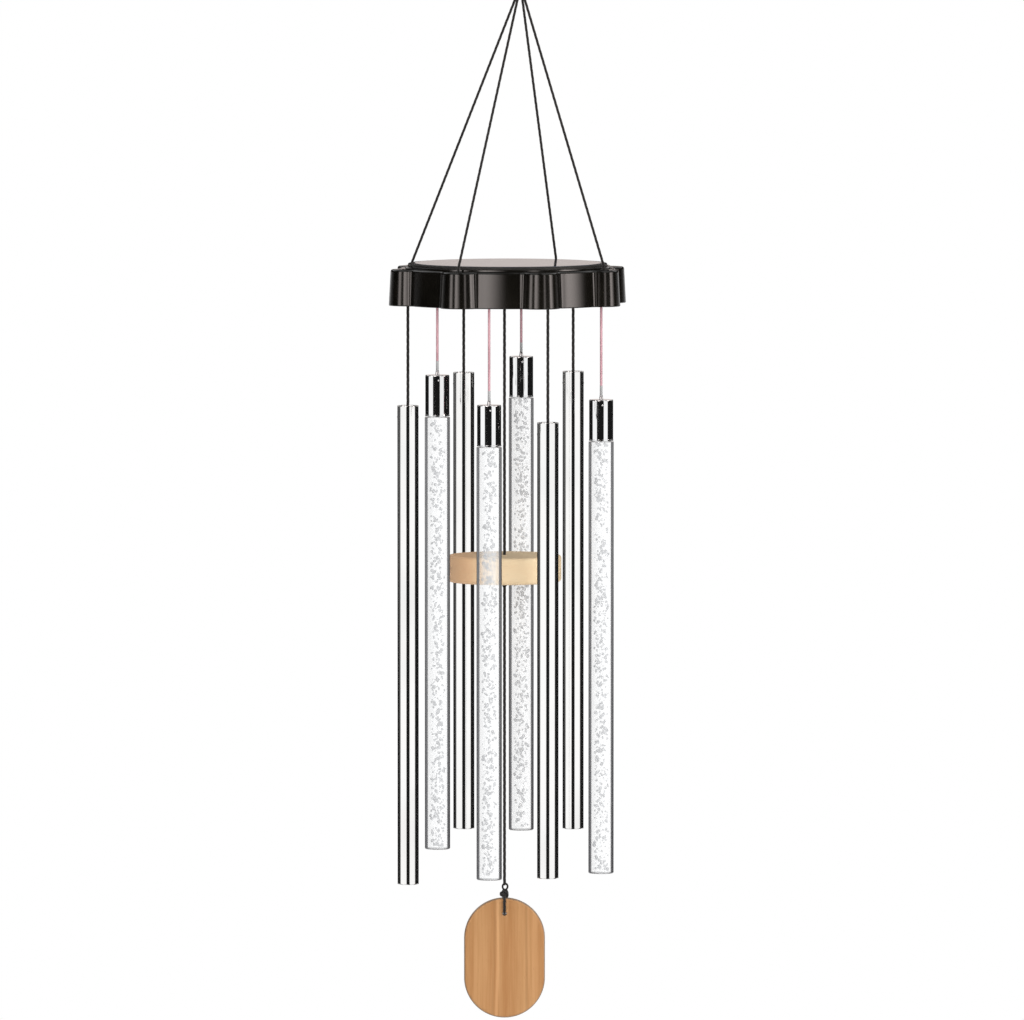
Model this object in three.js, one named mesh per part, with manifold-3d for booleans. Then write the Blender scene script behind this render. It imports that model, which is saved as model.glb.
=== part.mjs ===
// Solar wind chime on an S hook: a scalloped canopy with a solar cell on top, four metal chime tubes
// and four bubble-filled light rods round a wooden striker, and a wooden wind catcher at the foot of
// the middle cord. Millimetres, +Z up, -Y to the front. The origin is the inside of the hook's upper
// bend, where the chime hangs.

import * as THREE from "three";
import { mergeVertices } from "three/addons/utils/BufferGeometryUtils.js";
import Module from "manifold-3d";

const wasm = await Module();
wasm.setup();

// Clearances
const restGap = 0.3; // between pieces that touch
const passGap = 0.35; // round a pin, cord or wire in its hole
const cutOver = 1; // how far a cut runs past the face it starts from

// S hook and ring
const hookWire = 2.2;
const hookUpperRadius = 8; // inside of the bend over the support
const hookLowerRadius = 6; // inside of the bend that carries the ring
const hookUpperSweep = 235; // degrees
const hookLowerSweep = 250; // degrees
const ringWire = 1.6;
const ringRadius = 6; // to the middle of the wire

// Cords, strings and wires
const cordDiameter = 1.4;
const cordRise = 139.55; // from the canopy's upper edge to the foot of the ring knot
const apexShift = 6.4; // the ring hangs this far to the right of the canopy's axis
const ringKnotDiameter = 5;
const ringKnotHeight = 6;
const stopperKnotDiameter = 3;
const knotWraps = 3;
const knotWaist = 0.82; // share of the diameter left between two wraps
const knotEnd = 0.64; // share of the diameter left at both ends
const stringDiameter = 1.6;
const stringLoopWire = 1.2;
const lightWireDiameter = 1.3;
const middleCordDiameter = 1.6;
const middleShift = 1.6; // the middle cord hangs this far to the left of the canopy's axis

// Canopy
const recessRadius = 55.4; // the wall between two lobes
const lobeCount = 8;
const lobePhase = 18; // degrees from +X to the first lobe
const lobeRadius = 10.1;
const lobeReach = 7.1; // how far a lobe stands out of the recessed wall
const lobeFillet = 3;
const canopyWall = 1.8;
const canopyFlare = 1; // the wall leans out by this much towards its foot
const canopyEdgeRadius = 1.2;
const deckThickness = 1.6;
const shoulderWidth = 2.3;
const shoulderRise = 0.8;
const leadHoleRadius = 2.5;
const cordHoleOffset = 2; // cord hole, outwards from a lobe's centre
const cordLobeStep = 2; // a cord on every second lobe
const firstCordLobe = 1;

// Solar cell, bonded into its bezel
const bezelMargin = 0.5;
const bezelWidth = 2.6;
const bezelHeight = 1.3;
const bezelChamfer = 0.4;
const cellFit = 0.3;
const cellThickness = 1.5;

// Base plate
const plateThickness = 2.4;
const plateGap = 0.3;
const skirtDepth = 3.4; // the plate sits this far inside the wall's foot
const stringBossRadius = 1.8;
const stringBossHeight = 1.5;
const stringBossMargin = 0.6;
const postRadius = 3.2;
const postInset = 6.5; // screw posts, inwards from the hang circle
const postLobeStep = 2;
const firstPostLobe = 0;
const screwRadius = 1.1;
const screwHeadRadius = 2.6;
const screwCrownRadius = 1.8; // flat top of the head
const screwHeadHeight = 1.6;
const screwLength = 9;

// Electronics
const batteryDiameter = 10;
const batteryLength = 44;
const batteryTip = 1;
const batteryTipRadius = 2;
const batteryHeadroom = 0.35;
const batteryShift = -16; // along Y
const holderFloor = 0.8;
const holderWall = 1;
const holderWallHeight = 4;
const boardLength = 46;
const boardWidth = 28;
const boardThickness = 1.6;
const boardShift = 16; // along Y
const boardCorner = 3; // standoff, inwards from the board's corner
const standoffRadius = 1.6;
const switchLength = 8.6;
const switchWidth = 4.4;
const switchHeight = 3.6;
const switchShift = 9; // along Y
const knobLength = 3;
const knobWidth = 1.6;
const knobReach = 1.4; // below the base plate
const knobTravel = 2;

// Metal chime tubes
const tubeDiameter = 10.7;
const tubeWall = 0.9;
const pinDiameter = 1.6;
const pinDepth = 6; // below the tube's top
const leftTubeString = 53.3;
const leftTubeLength = 243.4;
const backLeftTubeString = 38.5;
const backLeftTubeLength = 233.3;
const frontRightTubeString = 58.9;
const frontRightTubeLength = 229.9;
const backRightTubeString = 37.6;
const backRightTubeLength = 233.6;
const chimeTubes = [
  { angle: 172.9, string: leftTubeString, length: leftTubeLength },
  { angle: 116.1, string: backLeftTubeString, length: backLeftTubeLength },
  { angle: 293.4, string: frontRightTubeString, length: frontRightTubeLength },
  { angle: 49.1, string: backRightTubeString, length: backRightTubeLength },
];

// Light rods
const rodDiameter = 12.7;
const rodChamfer = 0.5;
const spigotLength = 9;
const capDiameter = 12.3;
const capLength = 21;
const capWall = 0.8;
const capTop = 1.2;
const capChamfer = 0.4;
const ledRadius = 2.5;
const ledLength = 6.5;
const ledFlangeRadius = 2.9;
const ledFlangeHeight = 1;
const ledTipGap = 0.8; // between the lamp's tip and the foot of its socket
const frontLeftRodWire = 35.5;
const frontLeftRodLength = 218;
const frontRodWire = 49.9;
const frontRodLength = 218;
const backRodWire = 30.6;
const backRodLength = 221;
const rightRodWire = 48.9;
const rightRodLength = 218.5;
const lightRods = [
  { angle: 226, wire: frontLeftRodWire, length: frontLeftRodLength },
  { angle: 259.5, wire: frontRodWire, length: frontRodLength },
  { angle: 82.2, wire: backRodWire, length: backRodLength },
  { angle: 338, wire: rightRodWire, length: rightRodLength },
];

// Striker, wind catcher and their knots
const strikerDiameter = 57.6;
const strikerThickness = 13.6;
const strikerEdge = 2;
const strikerDrop = 128.7; // from the foot of the string boss to the striker's top
const strikerKnotDiameter = 4;
const catcherWidth = 41;
const catcherHeight = 61;
const catcherThickness = 5;
const catcherEdge = 1.2;
const catcherHoleRadius = 1.4;
const catcherHoleDrop = 8; // from the catcher's top to the hole's centre
const catcherDrop = 160.7; // from the striker's foot to the catcher's top
const catcherKnotDiameter = 5;
const catcherKnotHeight = 4;
const loopWire = 1.4;
const loopGap = 0.5; // between the loop and the wood it goes round
const crestTurns = [80, 50, 20]; // degrees, the loop's points over the catcher's rounded edge
const lipTurns = [0, 30, 60, 90]; // degrees, the loop's points round the lip of the hole

// Facets
const cordSides = 8;
const slopeSteps = 4; // a taut suspension cord
const hookSteps = 36;
const loopSides = 6;
const loopSteps = 44;
const ballRings = 6;
const domeSteps = 3; // the lamp's round tip
const roundSides = 20;
const discSides = 40;
const smallSides = 12;
const catcherSteps = 14; // half a turn of the wind catcher's outline
const edgeSteps = 2;
const lobeSteps = 7;
const filletSteps = 2;
const recessSteps = 3;

// Derived levels and radii
const degrees = Math.PI / 180;
const lobePitch = 360 / lobeCount;
const lobeCircle = recessRadius + lobeReach - lobeRadius;
const plateauRadius = recessRadius - canopyFlare - canopyEdgeRadius - shoulderWidth;
const bezelOuter = plateauRadius - bezelMargin;
const cellRadius = bezelOuter - bezelWidth - cellFit;
const cordCircle = lobeCircle + cordHoleOffset;
const hangCircle = recessRadius - canopyWall - plateGap - stringBossMargin - stringBossRadius;
const postCircle = hangCircle - postInset;
const deckUnderside = shoulderRise - deckThickness;
const plateTop = deckUnderside - batteryHeadroom - batteryDiameter - holderFloor - 2 * restGap;
const plateFoot = plateTop - plateThickness;
const wallHeight = skirtDepth - plateFoot;
const bossFoot = plateFoot - stringBossHeight;
const pivotLevel = bossFoot - restGap;
const standoffHeight = switchHeight + restGap;
const boardLevel = plateTop + standoffHeight + restGap;

const hookUpperLine = hookUpperRadius + hookWire / 2;
const hookLowerLine = hookLowerRadius + hookWire / 2;
const hookLowerCentre = -hookUpperRadius - hookUpperLine - hookLowerLine;
const ringCentre = hookLowerCentre - hookLowerRadius + restGap + ringWire / 2 - ringRadius;
const ringKnotTop = ringCentre - ringRadius - ringWire / 2 - restGap;
const cordTop = ringKnotTop - ringKnotHeight - restGap;
const deckLevel = cordTop - cordRise;

// Finishes
const finish = (color, roughness, metalness) =>
  new THREE.MeshStandardMaterial({ color, roughness, metalness });
const steel = finish(0xb9bbbd, 0.25, 1);
const polishedTube = finish(0xd6d6d4, 0.1, 1);
const chromeCap = finish(0xe2e4e6, 0.06, 1);
const blackCord = finish(0x1c1b1a, 0.85, 0);
const pinkWire = finish(0xcf8f98, 0.5, 0);
const espressoPlastic = finish(0x1d1814, 0.2, 0);
const solarCell = finish(0x23252e, 0.1, 0.1);
const innerPlastic = finish(0x26221f, 0.6, 0);
const boardGreen = finish(0x1f5a35, 0.5, 0);
const batteryGreen = finish(0x3e8a4a, 0.35, 0.2);
const switchBlack = finish(0x141414, 0.5, 0);
const clearAcrylic = new THREE.MeshStandardMaterial({
  color: 0xf3f6f8,
  roughness: 0.05,
  metalness: 0,
  transparent: true,
  opacity: 0.35,
});
const ledLens = finish(0xf4f1e6, 0.2, 0);
const maple = finish(0xe9c79a, 0.6, 0);
const alder = finish(0xc69664, 0.6, 0);

// A closed geometry as a solid, turned to face outwards.
function solid(geometry) {
  const bare = geometry.index ? geometry.toNonIndexed() : geometry.clone();
  bare.deleteAttribute("normal");
  bare.deleteAttribute("uv");
  const merged = mergeVertices(bare, 1e-4);
  const points = merged.attributes.position.array;
  const corners = merged.index.array;
  const faces = [];
  let volume = 0;
  const corner = (vertex) => new THREE.Vector3().fromArray(points, 3 * vertex);
  for (let i = 0; i < corners.length; i += 3) {
    const [p, q, r] = corners.subarray(i, i + 3);
    if (p === q || q === r || r === p) continue;
    faces.push([p, q, r]);
    volume += corner(p).dot(corner(q).cross(corner(r)));
  }
  const outward = volume < 0 ? faces.map(([p, q, r]) => [p, r, q]) : faces;
  const triVerts = new Uint32Array(outward.flat());
  return new wasm.Manifold(new wasm.Mesh({ numProp: 3, vertProperties: points, triVerts }));
}

// A solid as a named mesh of the scene.
function piece(name, made, material) {
  const data = made.getMesh();
  const geometry = new THREE.BufferGeometry();
  geometry.setAttribute("position", new THREE.BufferAttribute(data.vertProperties, 3));
  geometry.setIndex(new THREE.BufferAttribute(data.triVerts, 1));
  geometry.computeVertexNormals();
  const mesh = new THREE.Mesh(geometry, material);
  mesh.name = name;
  return mesh;
}

function group(x, y, z, ...children) {
  const made = new THREE.Group();
  made.position.set(x, y, z);
  made.add(...children);
  return made;
}

const onCircle = (radius, angle, z = 0) =>
  new THREE.Vector3(radius * Math.cos(angle * degrees), radius * Math.sin(angle * degrees), z);

// A profile of [radius, height] pairs turned round the Z axis.
function turned(profile, sides = roundSides) {
  const points = profile.map(([radius, height]) => new THREE.Vector2(radius, height));
  return solid(new THREE.LatheGeometry(points, sides).rotateX(Math.PI / 2));
}

const ringProfile = (profile) => [...profile, profile[0]];

// An upright round bar between two heights.
function bar(radius, low, high, sides = smallSides) {
  const profile = [
    [0, low],
    [radius, low],
    [radius, high],
    [0, high],
  ];
  return turned(profile, sides);
}

function block(length, width, low, high) {
  const made = new THREE.BoxGeometry(length, width, high - low);
  return solid(made.translate(0, 0, (low + high) / 2));
}

// A round cord or wire along a curve.
function strand(curve, diameter, steps, sides = cordSides) {
  const section = new THREE.Shape();
  for (let i = 0; i < sides; i++) {
    const corner = onCircle(diameter / 2, (360 * i) / sides);
    if (i) section.lineTo(corner.x, corner.y);
    else section.moveTo(corner.x, corner.y);
  }
  const sweep = { steps, extrudePath: curve, bevelEnabled: false };
  return solid(new THREE.ExtrudeGeometry(section, sweep));
}

// A taut strand that hangs straight down.
function plumbStrand(diameter, top, foot) {
  return bar(diameter / 2, foot, top, cordSides);
}

function ball(diameter, z) {
  const made = new THREE.SphereGeometry(diameter / 2, cordSides, ballRings);
  return solid(made.rotateX(Math.PI / 2).translate(0, 0, z));
}

// A tied knot: a short barrel of wraps.
function wrappedKnot(diameter, top, height) {
  const rows = 2 * knotWraps;
  const profile = [[0, top - height]];
  for (let row = 0; row <= rows; row++) {
    const end = row === 0 || row === rows;
    const crown = row % 2 ? 1 : knotWaist;
    const share = end ? knotEnd : crown;
    profile.push([(share * diameter) / 2, top - height + (height * row) / rows]);
  }
  profile.push([0, top]);
  return turned(profile, smallSides);
}

// The wire line of the S hook, in the YZ plane, from the tip of the upper bend to that of the lower.
class HookLine extends THREE.Curve {
  getPoint(t, target = new THREE.Vector3()) {
    const upperLength = hookUpperLine * hookUpperSweep;
    const lowerLength = hookLowerLine * hookLowerSweep;
    const along = t * (upperLength + lowerLength);
    const upper = along < upperLength;
    const radius = upper ? hookUpperLine : hookLowerLine;
    const centre = upper ? -hookUpperRadius : hookLowerCentre;
    const upperTurn = hookUpperSweep - 90 - along / hookUpperLine;
    const lowerTurn = 90 + (along - upperLength) / hookLowerLine;
    const turn = (upper ? upperTurn : lowerTurn) * degrees;
    return target.set(0, radius * Math.cos(turn), centre + radius * Math.sin(turn));
  }
}

function hanger() {
  const ring = new THREE.TorusGeometry(ringRadius, ringWire / 2, cordSides, 2 * smallSides);
  const knot = wrappedKnot(ringKnotDiameter, ringKnotTop, ringKnotHeight);
  return [
    piece("s_hook", strand(new HookLine(), hookWire, hookSteps), steel),
    piece("hang_ring", solid(ring.rotateX(Math.PI / 2).translate(0, 0, ringCentre)), steel),
    piece("ring_knot", knot, blackCord),
  ];
}

// The canopy's scalloped outline, moved inwards by inset: round lobes, fillets and the recessed wall
// between them.
function scallop(inset) {
  const reach = recessRadius + lobeFillet;
  const span = lobeRadius + lobeFillet;
  const spread = Math.acos((lobeCircle ** 2 + reach ** 2 - span ** 2) / (2 * lobeCircle * reach));
  const lean = Math.atan2(reach * Math.sin(spread), reach * Math.cos(spread) - lobeCircle);
  const half = Math.PI;
  const points = [];
  function arc(centreRadius, centreTurn, radius, from, to, steps, turn) {
    for (let i = 0; i < steps; i++) {
      const at = from + ((to - from) * i) / steps;
      const x = centreRadius * Math.cos(centreTurn) + radius * Math.cos(at);
      const y = centreRadius * Math.sin(centreTurn) + radius * Math.sin(at);
      points.push(new THREE.Vector2(x, y).rotateAround(new THREE.Vector2(), turn));
    }
  }
  const pitch = lobePitch * degrees;
  for (let k = 0; k < lobeCount; k++) {
    const turn = lobePhase * degrees + k * pitch;
    arc(reach, -spread, lobeFillet + inset, half - spread, half - lean, filletSteps, turn);
    arc(lobeCircle, 0, lobeRadius - inset, -lean, lean, lobeSteps, turn);
    arc(reach, spread, lobeFillet + inset, half + lean, half + spread, filletSteps, turn);
    arc(0, 0, recessRadius - inset, spread, pitch - spread, recessSteps, turn);
  }
  return points;
}

// Rows of the scalloped outline, or of a circle on the same bearings, joined into one closed skin.
function scallopedSkin(rows) {
  const bearings = scallop(0).map((point) => point.angle());
  const count = bearings.length;
  const positions = [];
  const corners = [];
  rows.forEach(({ inset, radius, z }, row) => {
    const loop =
      radius === undefined
        ? scallop(inset)
        : bearings.map((at) => new THREE.Vector2(radius * Math.cos(at), radius * Math.sin(at)));
    loop.forEach((point, i) => {
      positions.push(point.x, point.y, z);
      const next = (i + 1) % count;
      const here = row * count;
      const above = ((row + 1) % rows.length) * count;
      corners.push(here + i, here + next, above + next, here + i, above + next, above + i);
    });
  });
  const geometry = new THREE.BufferGeometry();
  geometry.setAttribute("position", new THREE.Float32BufferAttribute(positions, 3));
  geometry.setIndex(corners);
  return solid(geometry);
}

// Inset of the leaning wall at a height below the canopy's upper edge.
const wallLean = (z) => (canopyFlare * (wallHeight + z)) / wallHeight;

// Height of the canopy's shoulder over a lobe, at a distance from the axis.
function shoulderLevel(radius) {
  const rim = recessRadius + lobeReach - canopyFlare - canopyEdgeRadius;
  return (shoulderRise * (rim - radius)) / (rim - plateauRadius);
}

const lobeBearing = (lobe) => lobePhase + lobe * lobePitch;

function canopyShell() {
  const bevel = canopyEdgeRadius * (1 - Math.SQRT1_2);
  let shell = scallopedSkin([
    { inset: 0, z: -wallHeight },
    { inset: wallLean(-canopyEdgeRadius), z: -canopyEdgeRadius },
    { inset: canopyFlare + bevel, z: -bevel },
    { inset: canopyFlare + canopyEdgeRadius, z: 0 },
    { radius: plateauRadius, z: shoulderRise },
    { radius: leadHoleRadius, z: shoulderRise },
    { radius: leadHoleRadius, z: deckUnderside },
    { radius: plateauRadius, z: deckUnderside },
    { inset: canopyFlare + canopyWall, z: -deckThickness },
    { inset: canopyWall, z: -wallHeight },
  ]);
  const postFoot = plateTop + restGap;
  const pilotTop = plateFoot - screwHeadHeight + screwLength + restGap;
  for (let lobe = firstPostLobe; lobe < lobeCount; lobe += postLobeStep) {
    const at = onCircle(postCircle, lobeBearing(lobe));
    const post = bar(postRadius, postFoot, deckUnderside + deckThickness / 2);
    const pilot = bar(screwRadius + passGap, postFoot - cutOver, pilotTop);
    shell = shell.add(post.translate(at.x, at.y, 0)).subtract(pilot.translate(at.x, at.y, 0));
  }
  for (let lobe = firstCordLobe; lobe < lobeCount; lobe += cordLobeStep) {
    const at = onCircle(cordCircle, lobeBearing(lobe));
    const hole = bar(cordDiameter / 2 + passGap, -deckThickness - cutOver, shoulderRise + cutOver);
    shell = shell.subtract(hole.translate(at.x, at.y, 0));
  }
  return piece("canopy_shell", shell, espressoPlastic);
}

function solarTop() {
  const seat = shoulderRise + restGap;
  const inner = cellRadius + cellFit;
  const bezelTop = seat + bezelHeight;
  const bezel = ringProfile([
    [inner, seat],
    [bezelOuter, seat],
    [bezelOuter, bezelTop - bezelChamfer],
    [bezelOuter - bezelChamfer, bezelTop],
    [inner, bezelTop],
  ]);
  return [
    piece("panel_bezel", turned(bezel, discSides), espressoPlastic),
    piece("solar_panel", bar(cellRadius, seat, seat + cellThickness, discSides), solarCell),
  ];
}

function basePlate() {
  const outline = new THREE.Shape(scallop(canopyWall + wallLean(plateTop) + plateGap));
  const flat = new THREE.ExtrudeGeometry(outline, { depth: plateThickness, bevelEnabled: false });
  let plate = solid(flat.translate(0, 0, plateFoot));
  const middle = (plateFoot + plateTop) / 2;
  for (const { angle } of [...chimeTubes, ...lightRods]) {
    const at = onCircle(hangCircle, angle);
    plate = plate.add(bar(stringBossRadius, bossFoot, middle).translate(at.x, at.y, 0));
  }
  plate = plate.add(bar(stringBossRadius, bossFoot, middle).translate(-middleShift, 0, 0));
  for (let lobe = firstPostLobe; lobe < lobeCount; lobe += postLobeStep) {
    const at = onCircle(postCircle, lobeBearing(lobe));
    const hole = bar(screwRadius + passGap, plateFoot - cutOver, plateTop + cutOver);
    plate = plate.subtract(hole.translate(at.x, at.y, 0));
  }
  for (const sideX of [-1, 1]) {
    for (const sideY of [-1, 1]) {
      const x = sideX * (boardLength / 2 - boardCorner);
      const y = boardShift + sideY * (boardWidth / 2 - boardCorner);
      plate = plate.add(bar(standoffRadius, middle, plateTop + standoffHeight).translate(x, y, 0));
    }
  }
  const slotLength = knobLength + knobTravel + 2 * passGap;
  const slotWidth = knobWidth + 2 * passGap;
  const slot = block(slotLength, slotWidth, plateFoot - cutOver, plateTop + cutOver);
  return piece("base_plate", plate.subtract(slot.translate(0, switchShift, 0)), innerPlastic);
}

function baseScrews() {
  const made = [];
  for (let lobe = firstPostLobe; lobe < lobeCount; lobe += postLobeStep) {
    const at = onCircle(postCircle, lobeBearing(lobe));
    const headTop = plateFoot - restGap;
    const profile = [
      [0, headTop - screwHeadHeight],
      [screwCrownRadius, headTop - screwHeadHeight],
      [screwHeadRadius, headTop - screwHeadHeight / 2],
      [screwHeadRadius, headTop],
      [screwRadius, headTop],
      [screwRadius, headTop - screwHeadHeight + screwLength],
      [0, headTop - screwHeadHeight + screwLength],
    ];
    const screw = piece(`base_screw_${made.length + 1}`, turned(profile, smallSides), steel);
    made.push(group(at.x, at.y, 0, screw));
  }
  return made;
}

function electronics() {
  const holderLow = plateTop + restGap;
  const cellLow = holderLow + holderFloor + restGap;
  const inside = batteryLength + batteryTip + 2 * restGap;
  const across = batteryDiameter + 2 * restGap;
  const trough = block(inside, across, holderLow + holderFloor, cellLow + batteryDiameter);
  const trayLength = inside + 2 * holderWall;
  const trayWidth = across + 2 * holderWall;
  const tray = block(trayLength, trayWidth, holderLow, holderLow + holderWallHeight);
  const battery = turned([
    [0, -batteryLength / 2],
    [batteryDiameter / 2, -batteryLength / 2],
    [batteryDiameter / 2, batteryLength / 2],
    [batteryTipRadius, batteryLength / 2],
    [batteryTipRadius, batteryLength / 2 + batteryTip],
    [0, batteryLength / 2 + batteryTip],
  ]).rotate([0, 90, 0]);
  const board = block(boardLength, boardWidth, boardLevel, boardLevel + boardThickness);
  const switchLow = plateTop + restGap;
  const switchCase = block(switchLength, switchWidth, switchLow, switchLow + switchHeight - restGap);
  const knob = block(knobLength, knobWidth, plateFoot - knobReach, plateTop);
  return [
    piece("battery_holder", tray.subtract(trough).translate(0, batteryShift, 0), innerPlastic),
    piece(
      "battery_cell",
      battery.translate(-batteryTip / 2, batteryShift, cellLow + batteryDiameter / 2),
      batteryGreen,
    ),
    piece("circuit_board", board.translate(0, boardShift, 0), boardGreen),
    piece("switch_body", switchCase.translate(0, switchShift, 0), switchBlack),
    piece("switch_knob", knob.translate(-knobTravel / 2, switchShift, 0), switchBlack),
  ];
}

// A suspension cord from the ring knot to its lobe, down through the lobe's hole to a stopper knot.
function suspensionCords() {
  const made = [];
  const spread = (cordDiameter + restGap) * Math.SQRT1_2;
  const shoulder = deckLevel + shoulderLevel(cordCircle);
  const bendLevel = shoulder + cordDiameter;
  const knotLevel = shoulder - deckThickness - 2 * restGap - stopperKnotDiameter / 2;
  for (let lobe = firstCordLobe; lobe < lobeCount; lobe += cordLobeStep) {
    const top = onCircle(spread, lobeBearing(lobe), cordTop);
    const hole = onCircle(cordCircle, lobeBearing(lobe));
    const bend = new THREE.Vector3(hole.x - apexShift, hole.y, bendLevel);
    const slope = strand(new THREE.LineCurve3(top, bend), cordDiameter, slopeSteps);
    const neck = plumbStrand(cordDiameter, bendLevel, knotLevel)
      .add(ball(cordDiameter, bendLevel))
      .add(ball(stopperKnotDiameter, knotLevel));
    const cord = slope.add(neck.translate(bend.x, bend.y, 0));
    made.push(piece(`suspension_cord_${made.length + 1}`, cord, blackCord));
  }
  return made;
}

// A metal tube on a string that is looped round a cross pin. The group's origin is the string's pivot.
function chimeTube({ angle, string, length }, number) {
  const outer = tubeDiameter / 2;
  const inner = outer - tubeWall;
  const wall = ringProfile([
    [inner, -string - length],
    [outer, -string - length],
    [outer, -string],
    [inner, -string],
  ]);
  const pinLevel = -string - pinDepth;
  const hole = bar(pinDiameter / 2 + passGap, -tubeDiameter, tubeDiameter).rotate([0, 90, 0]);
  const pin = bar(pinDiameter / 2, -outer, outer).rotate([0, 90, 0]);
  const loopRadius = pinDiameter / 2 + restGap + stringLoopWire / 2;
  const loop = new THREE.TorusGeometry(loopRadius, stringLoopWire / 2, loopSides, smallSides);
  loop.rotateY(Math.PI / 2).translate(0, 0, pinLevel);
  const line = plumbStrand(stringDiameter, 0, pinLevel + loopRadius);
  const at = onCircle(hangCircle, angle, pivotLevel);
  return group(
    at.x,
    at.y,
    at.z,
    piece(`chime_tube_${number}`, turned(wall).subtract(hole.translate(0, 0, pinLevel)), polishedTube),
    piece(`tube_pin_${number}`, pin.translate(0, 0, pinLevel), steel),
    piece(`tube_string_${number}`, line.add(solid(loop)), blackCord),
  );
}

// A clear rod lit by a lamp in its chromed cap, hung on the lamp's wire. The group's origin is the
// wire's pivot.
function lightRod({ angle, wire, length }, number) {
  const outer = rodDiameter / 2;
  const capOuter = capDiameter / 2;
  const bore = capOuter - capWall;
  const spigot = bore - restGap;
  const capFoot = -wire - capLength;
  const rodTop = capFoot - restGap;
  const rodFoot = rodTop - length;
  const spigotTop = rodTop + spigotLength;
  const socket = ledRadius + restGap;
  const flangeFoot = spigotTop + restGap;
  const socketFoot = flangeFoot - ledLength - ledTipGap;
  const rod = [
    [0, rodFoot],
    [outer - rodChamfer, rodFoot],
    [outer, rodFoot + rodChamfer],
    [outer, rodTop],
    [spigot, rodTop],
    [spigot, spigotTop],
    [socket, spigotTop],
    [socket, socketFoot],
    [0, socketFoot],
  ];
  const neck = lightWireDiameter / 2 + passGap;
  const cap = ringProfile([
    [neck, -wire - capTop],
    [bore, -wire - capTop],
    [bore, capFoot],
    [capOuter, capFoot],
    [capOuter, -wire - capChamfer],
    [capOuter - capChamfer, -wire],
    [neck, -wire],
  ]);
  const domeStart = flangeFoot + ledRadius - ledLength;
  const led = [[0, flangeFoot - ledLength]];
  for (let i = 1; i <= domeSteps; i++) {
    const turn = (90 * degrees * i) / domeSteps;
    led.push([ledRadius * Math.sin(turn), domeStart - ledRadius * Math.cos(turn)]);
  }
  led.push([ledRadius, flangeFoot]);
  led.push([ledFlangeRadius, flangeFoot]);
  led.push([ledFlangeRadius, flangeFoot + ledFlangeHeight]);
  led.push([0, flangeFoot + ledFlangeHeight]);
  const line = plumbStrand(lightWireDiameter, 0, flangeFoot + ledFlangeHeight + restGap);
  const at = onCircle(hangCircle, angle, pivotLevel);
  return group(
    at.x,
    at.y,
    at.z,
    piece(`crystal_rod_${number}`, turned(rod), clearAcrylic),
    piece(`rod_cap_${number}`, turned(cap), chromeCap),
    piece(`rod_led_${number}`, turned(led, smallSides), ledLens),
    piece(`rod_wire_${number}`, line, pinkWire),
  );
}

// Levels along the middle cord, below its pivot.
function middleLevels() {
  const strikerFoot = -strikerDrop - strikerThickness;
  const strikerKnotTop = strikerFoot - restGap;
  const catcherCordTop = strikerKnotTop - strikerKnotDiameter - restGap;
  const catcherTop = strikerFoot - catcherDrop;
  const loopTop = catcherTop + loopGap + loopWire;
  const catcherKnotTop = loopTop + loopWire / 2 + catcherKnotHeight;
  return { strikerFoot, strikerKnotTop, catcherCordTop, catcherTop, loopTop, catcherKnotTop };
}

// The striker on the middle cord, carried by a knot under it. The origin is the cord's pivot.
function striker() {
  const { strikerFoot: foot, strikerKnotTop } = middleLevels();
  const top = -strikerDrop;
  const radius = strikerDiameter / 2;
  const hole = middleCordDiameter / 2 + passGap;
  const ease = strikerEdge * (1 - Math.SQRT1_2);
  const profile = ringProfile([
    [hole, foot],
    [radius - strikerEdge, foot],
    [radius - ease, foot + ease],
    [radius, foot + strikerEdge],
    [radius, top - strikerEdge],
    [radius - ease, top - ease],
    [radius - strikerEdge, top],
    [hole, top],
  ]);
  const knot = wrappedKnot(strikerKnotDiameter, strikerKnotTop, strikerKnotDiameter);
  return [
    piece("striker_cord", plumbStrand(middleCordDiameter, 0, foot), blackCord),
    piece("striker", turned(profile, discSides), maple),
    piece("striker_knot", knot, blackCord),
  ];
}

// The catcher's cord loop: from the knot down one face, through the hole and up the other face.
function catcherLoop() {
  const { catcherTop, loopTop } = middleLevels();
  const off = loopGap + loopWire / 2;
  const half = catcherThickness / 2;
  const front = [new THREE.Vector3(0, -loopWire / 2 - restGap / 2, loopTop)];
  const crest = { y: half - catcherEdge, z: catcherTop - catcherEdge, radius: catcherEdge + off };
  for (const turn of crestTurns) {
    const y = crest.y + crest.radius * Math.cos(turn * degrees);
    front.push(new THREE.Vector3(0, -y, crest.z + crest.radius * Math.sin(turn * degrees)));
  }
  const lip = catcherTop - catcherHoleDrop + catcherHoleRadius;
  for (const turn of lipTurns) {
    const y = half + off * Math.cos(turn * degrees);
    front.push(new THREE.Vector3(0, -y, lip - off * Math.sin(turn * degrees)));
  }
  const back = front.map(({ y, z }) => new THREE.Vector3(0, -y, z)).reverse();
  const route = new THREE.CatmullRomCurve3([...front, ...back]);
  return piece("catcher_loop", strand(route, loopWire, loopSteps, loopSides), blackCord);
}

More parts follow.
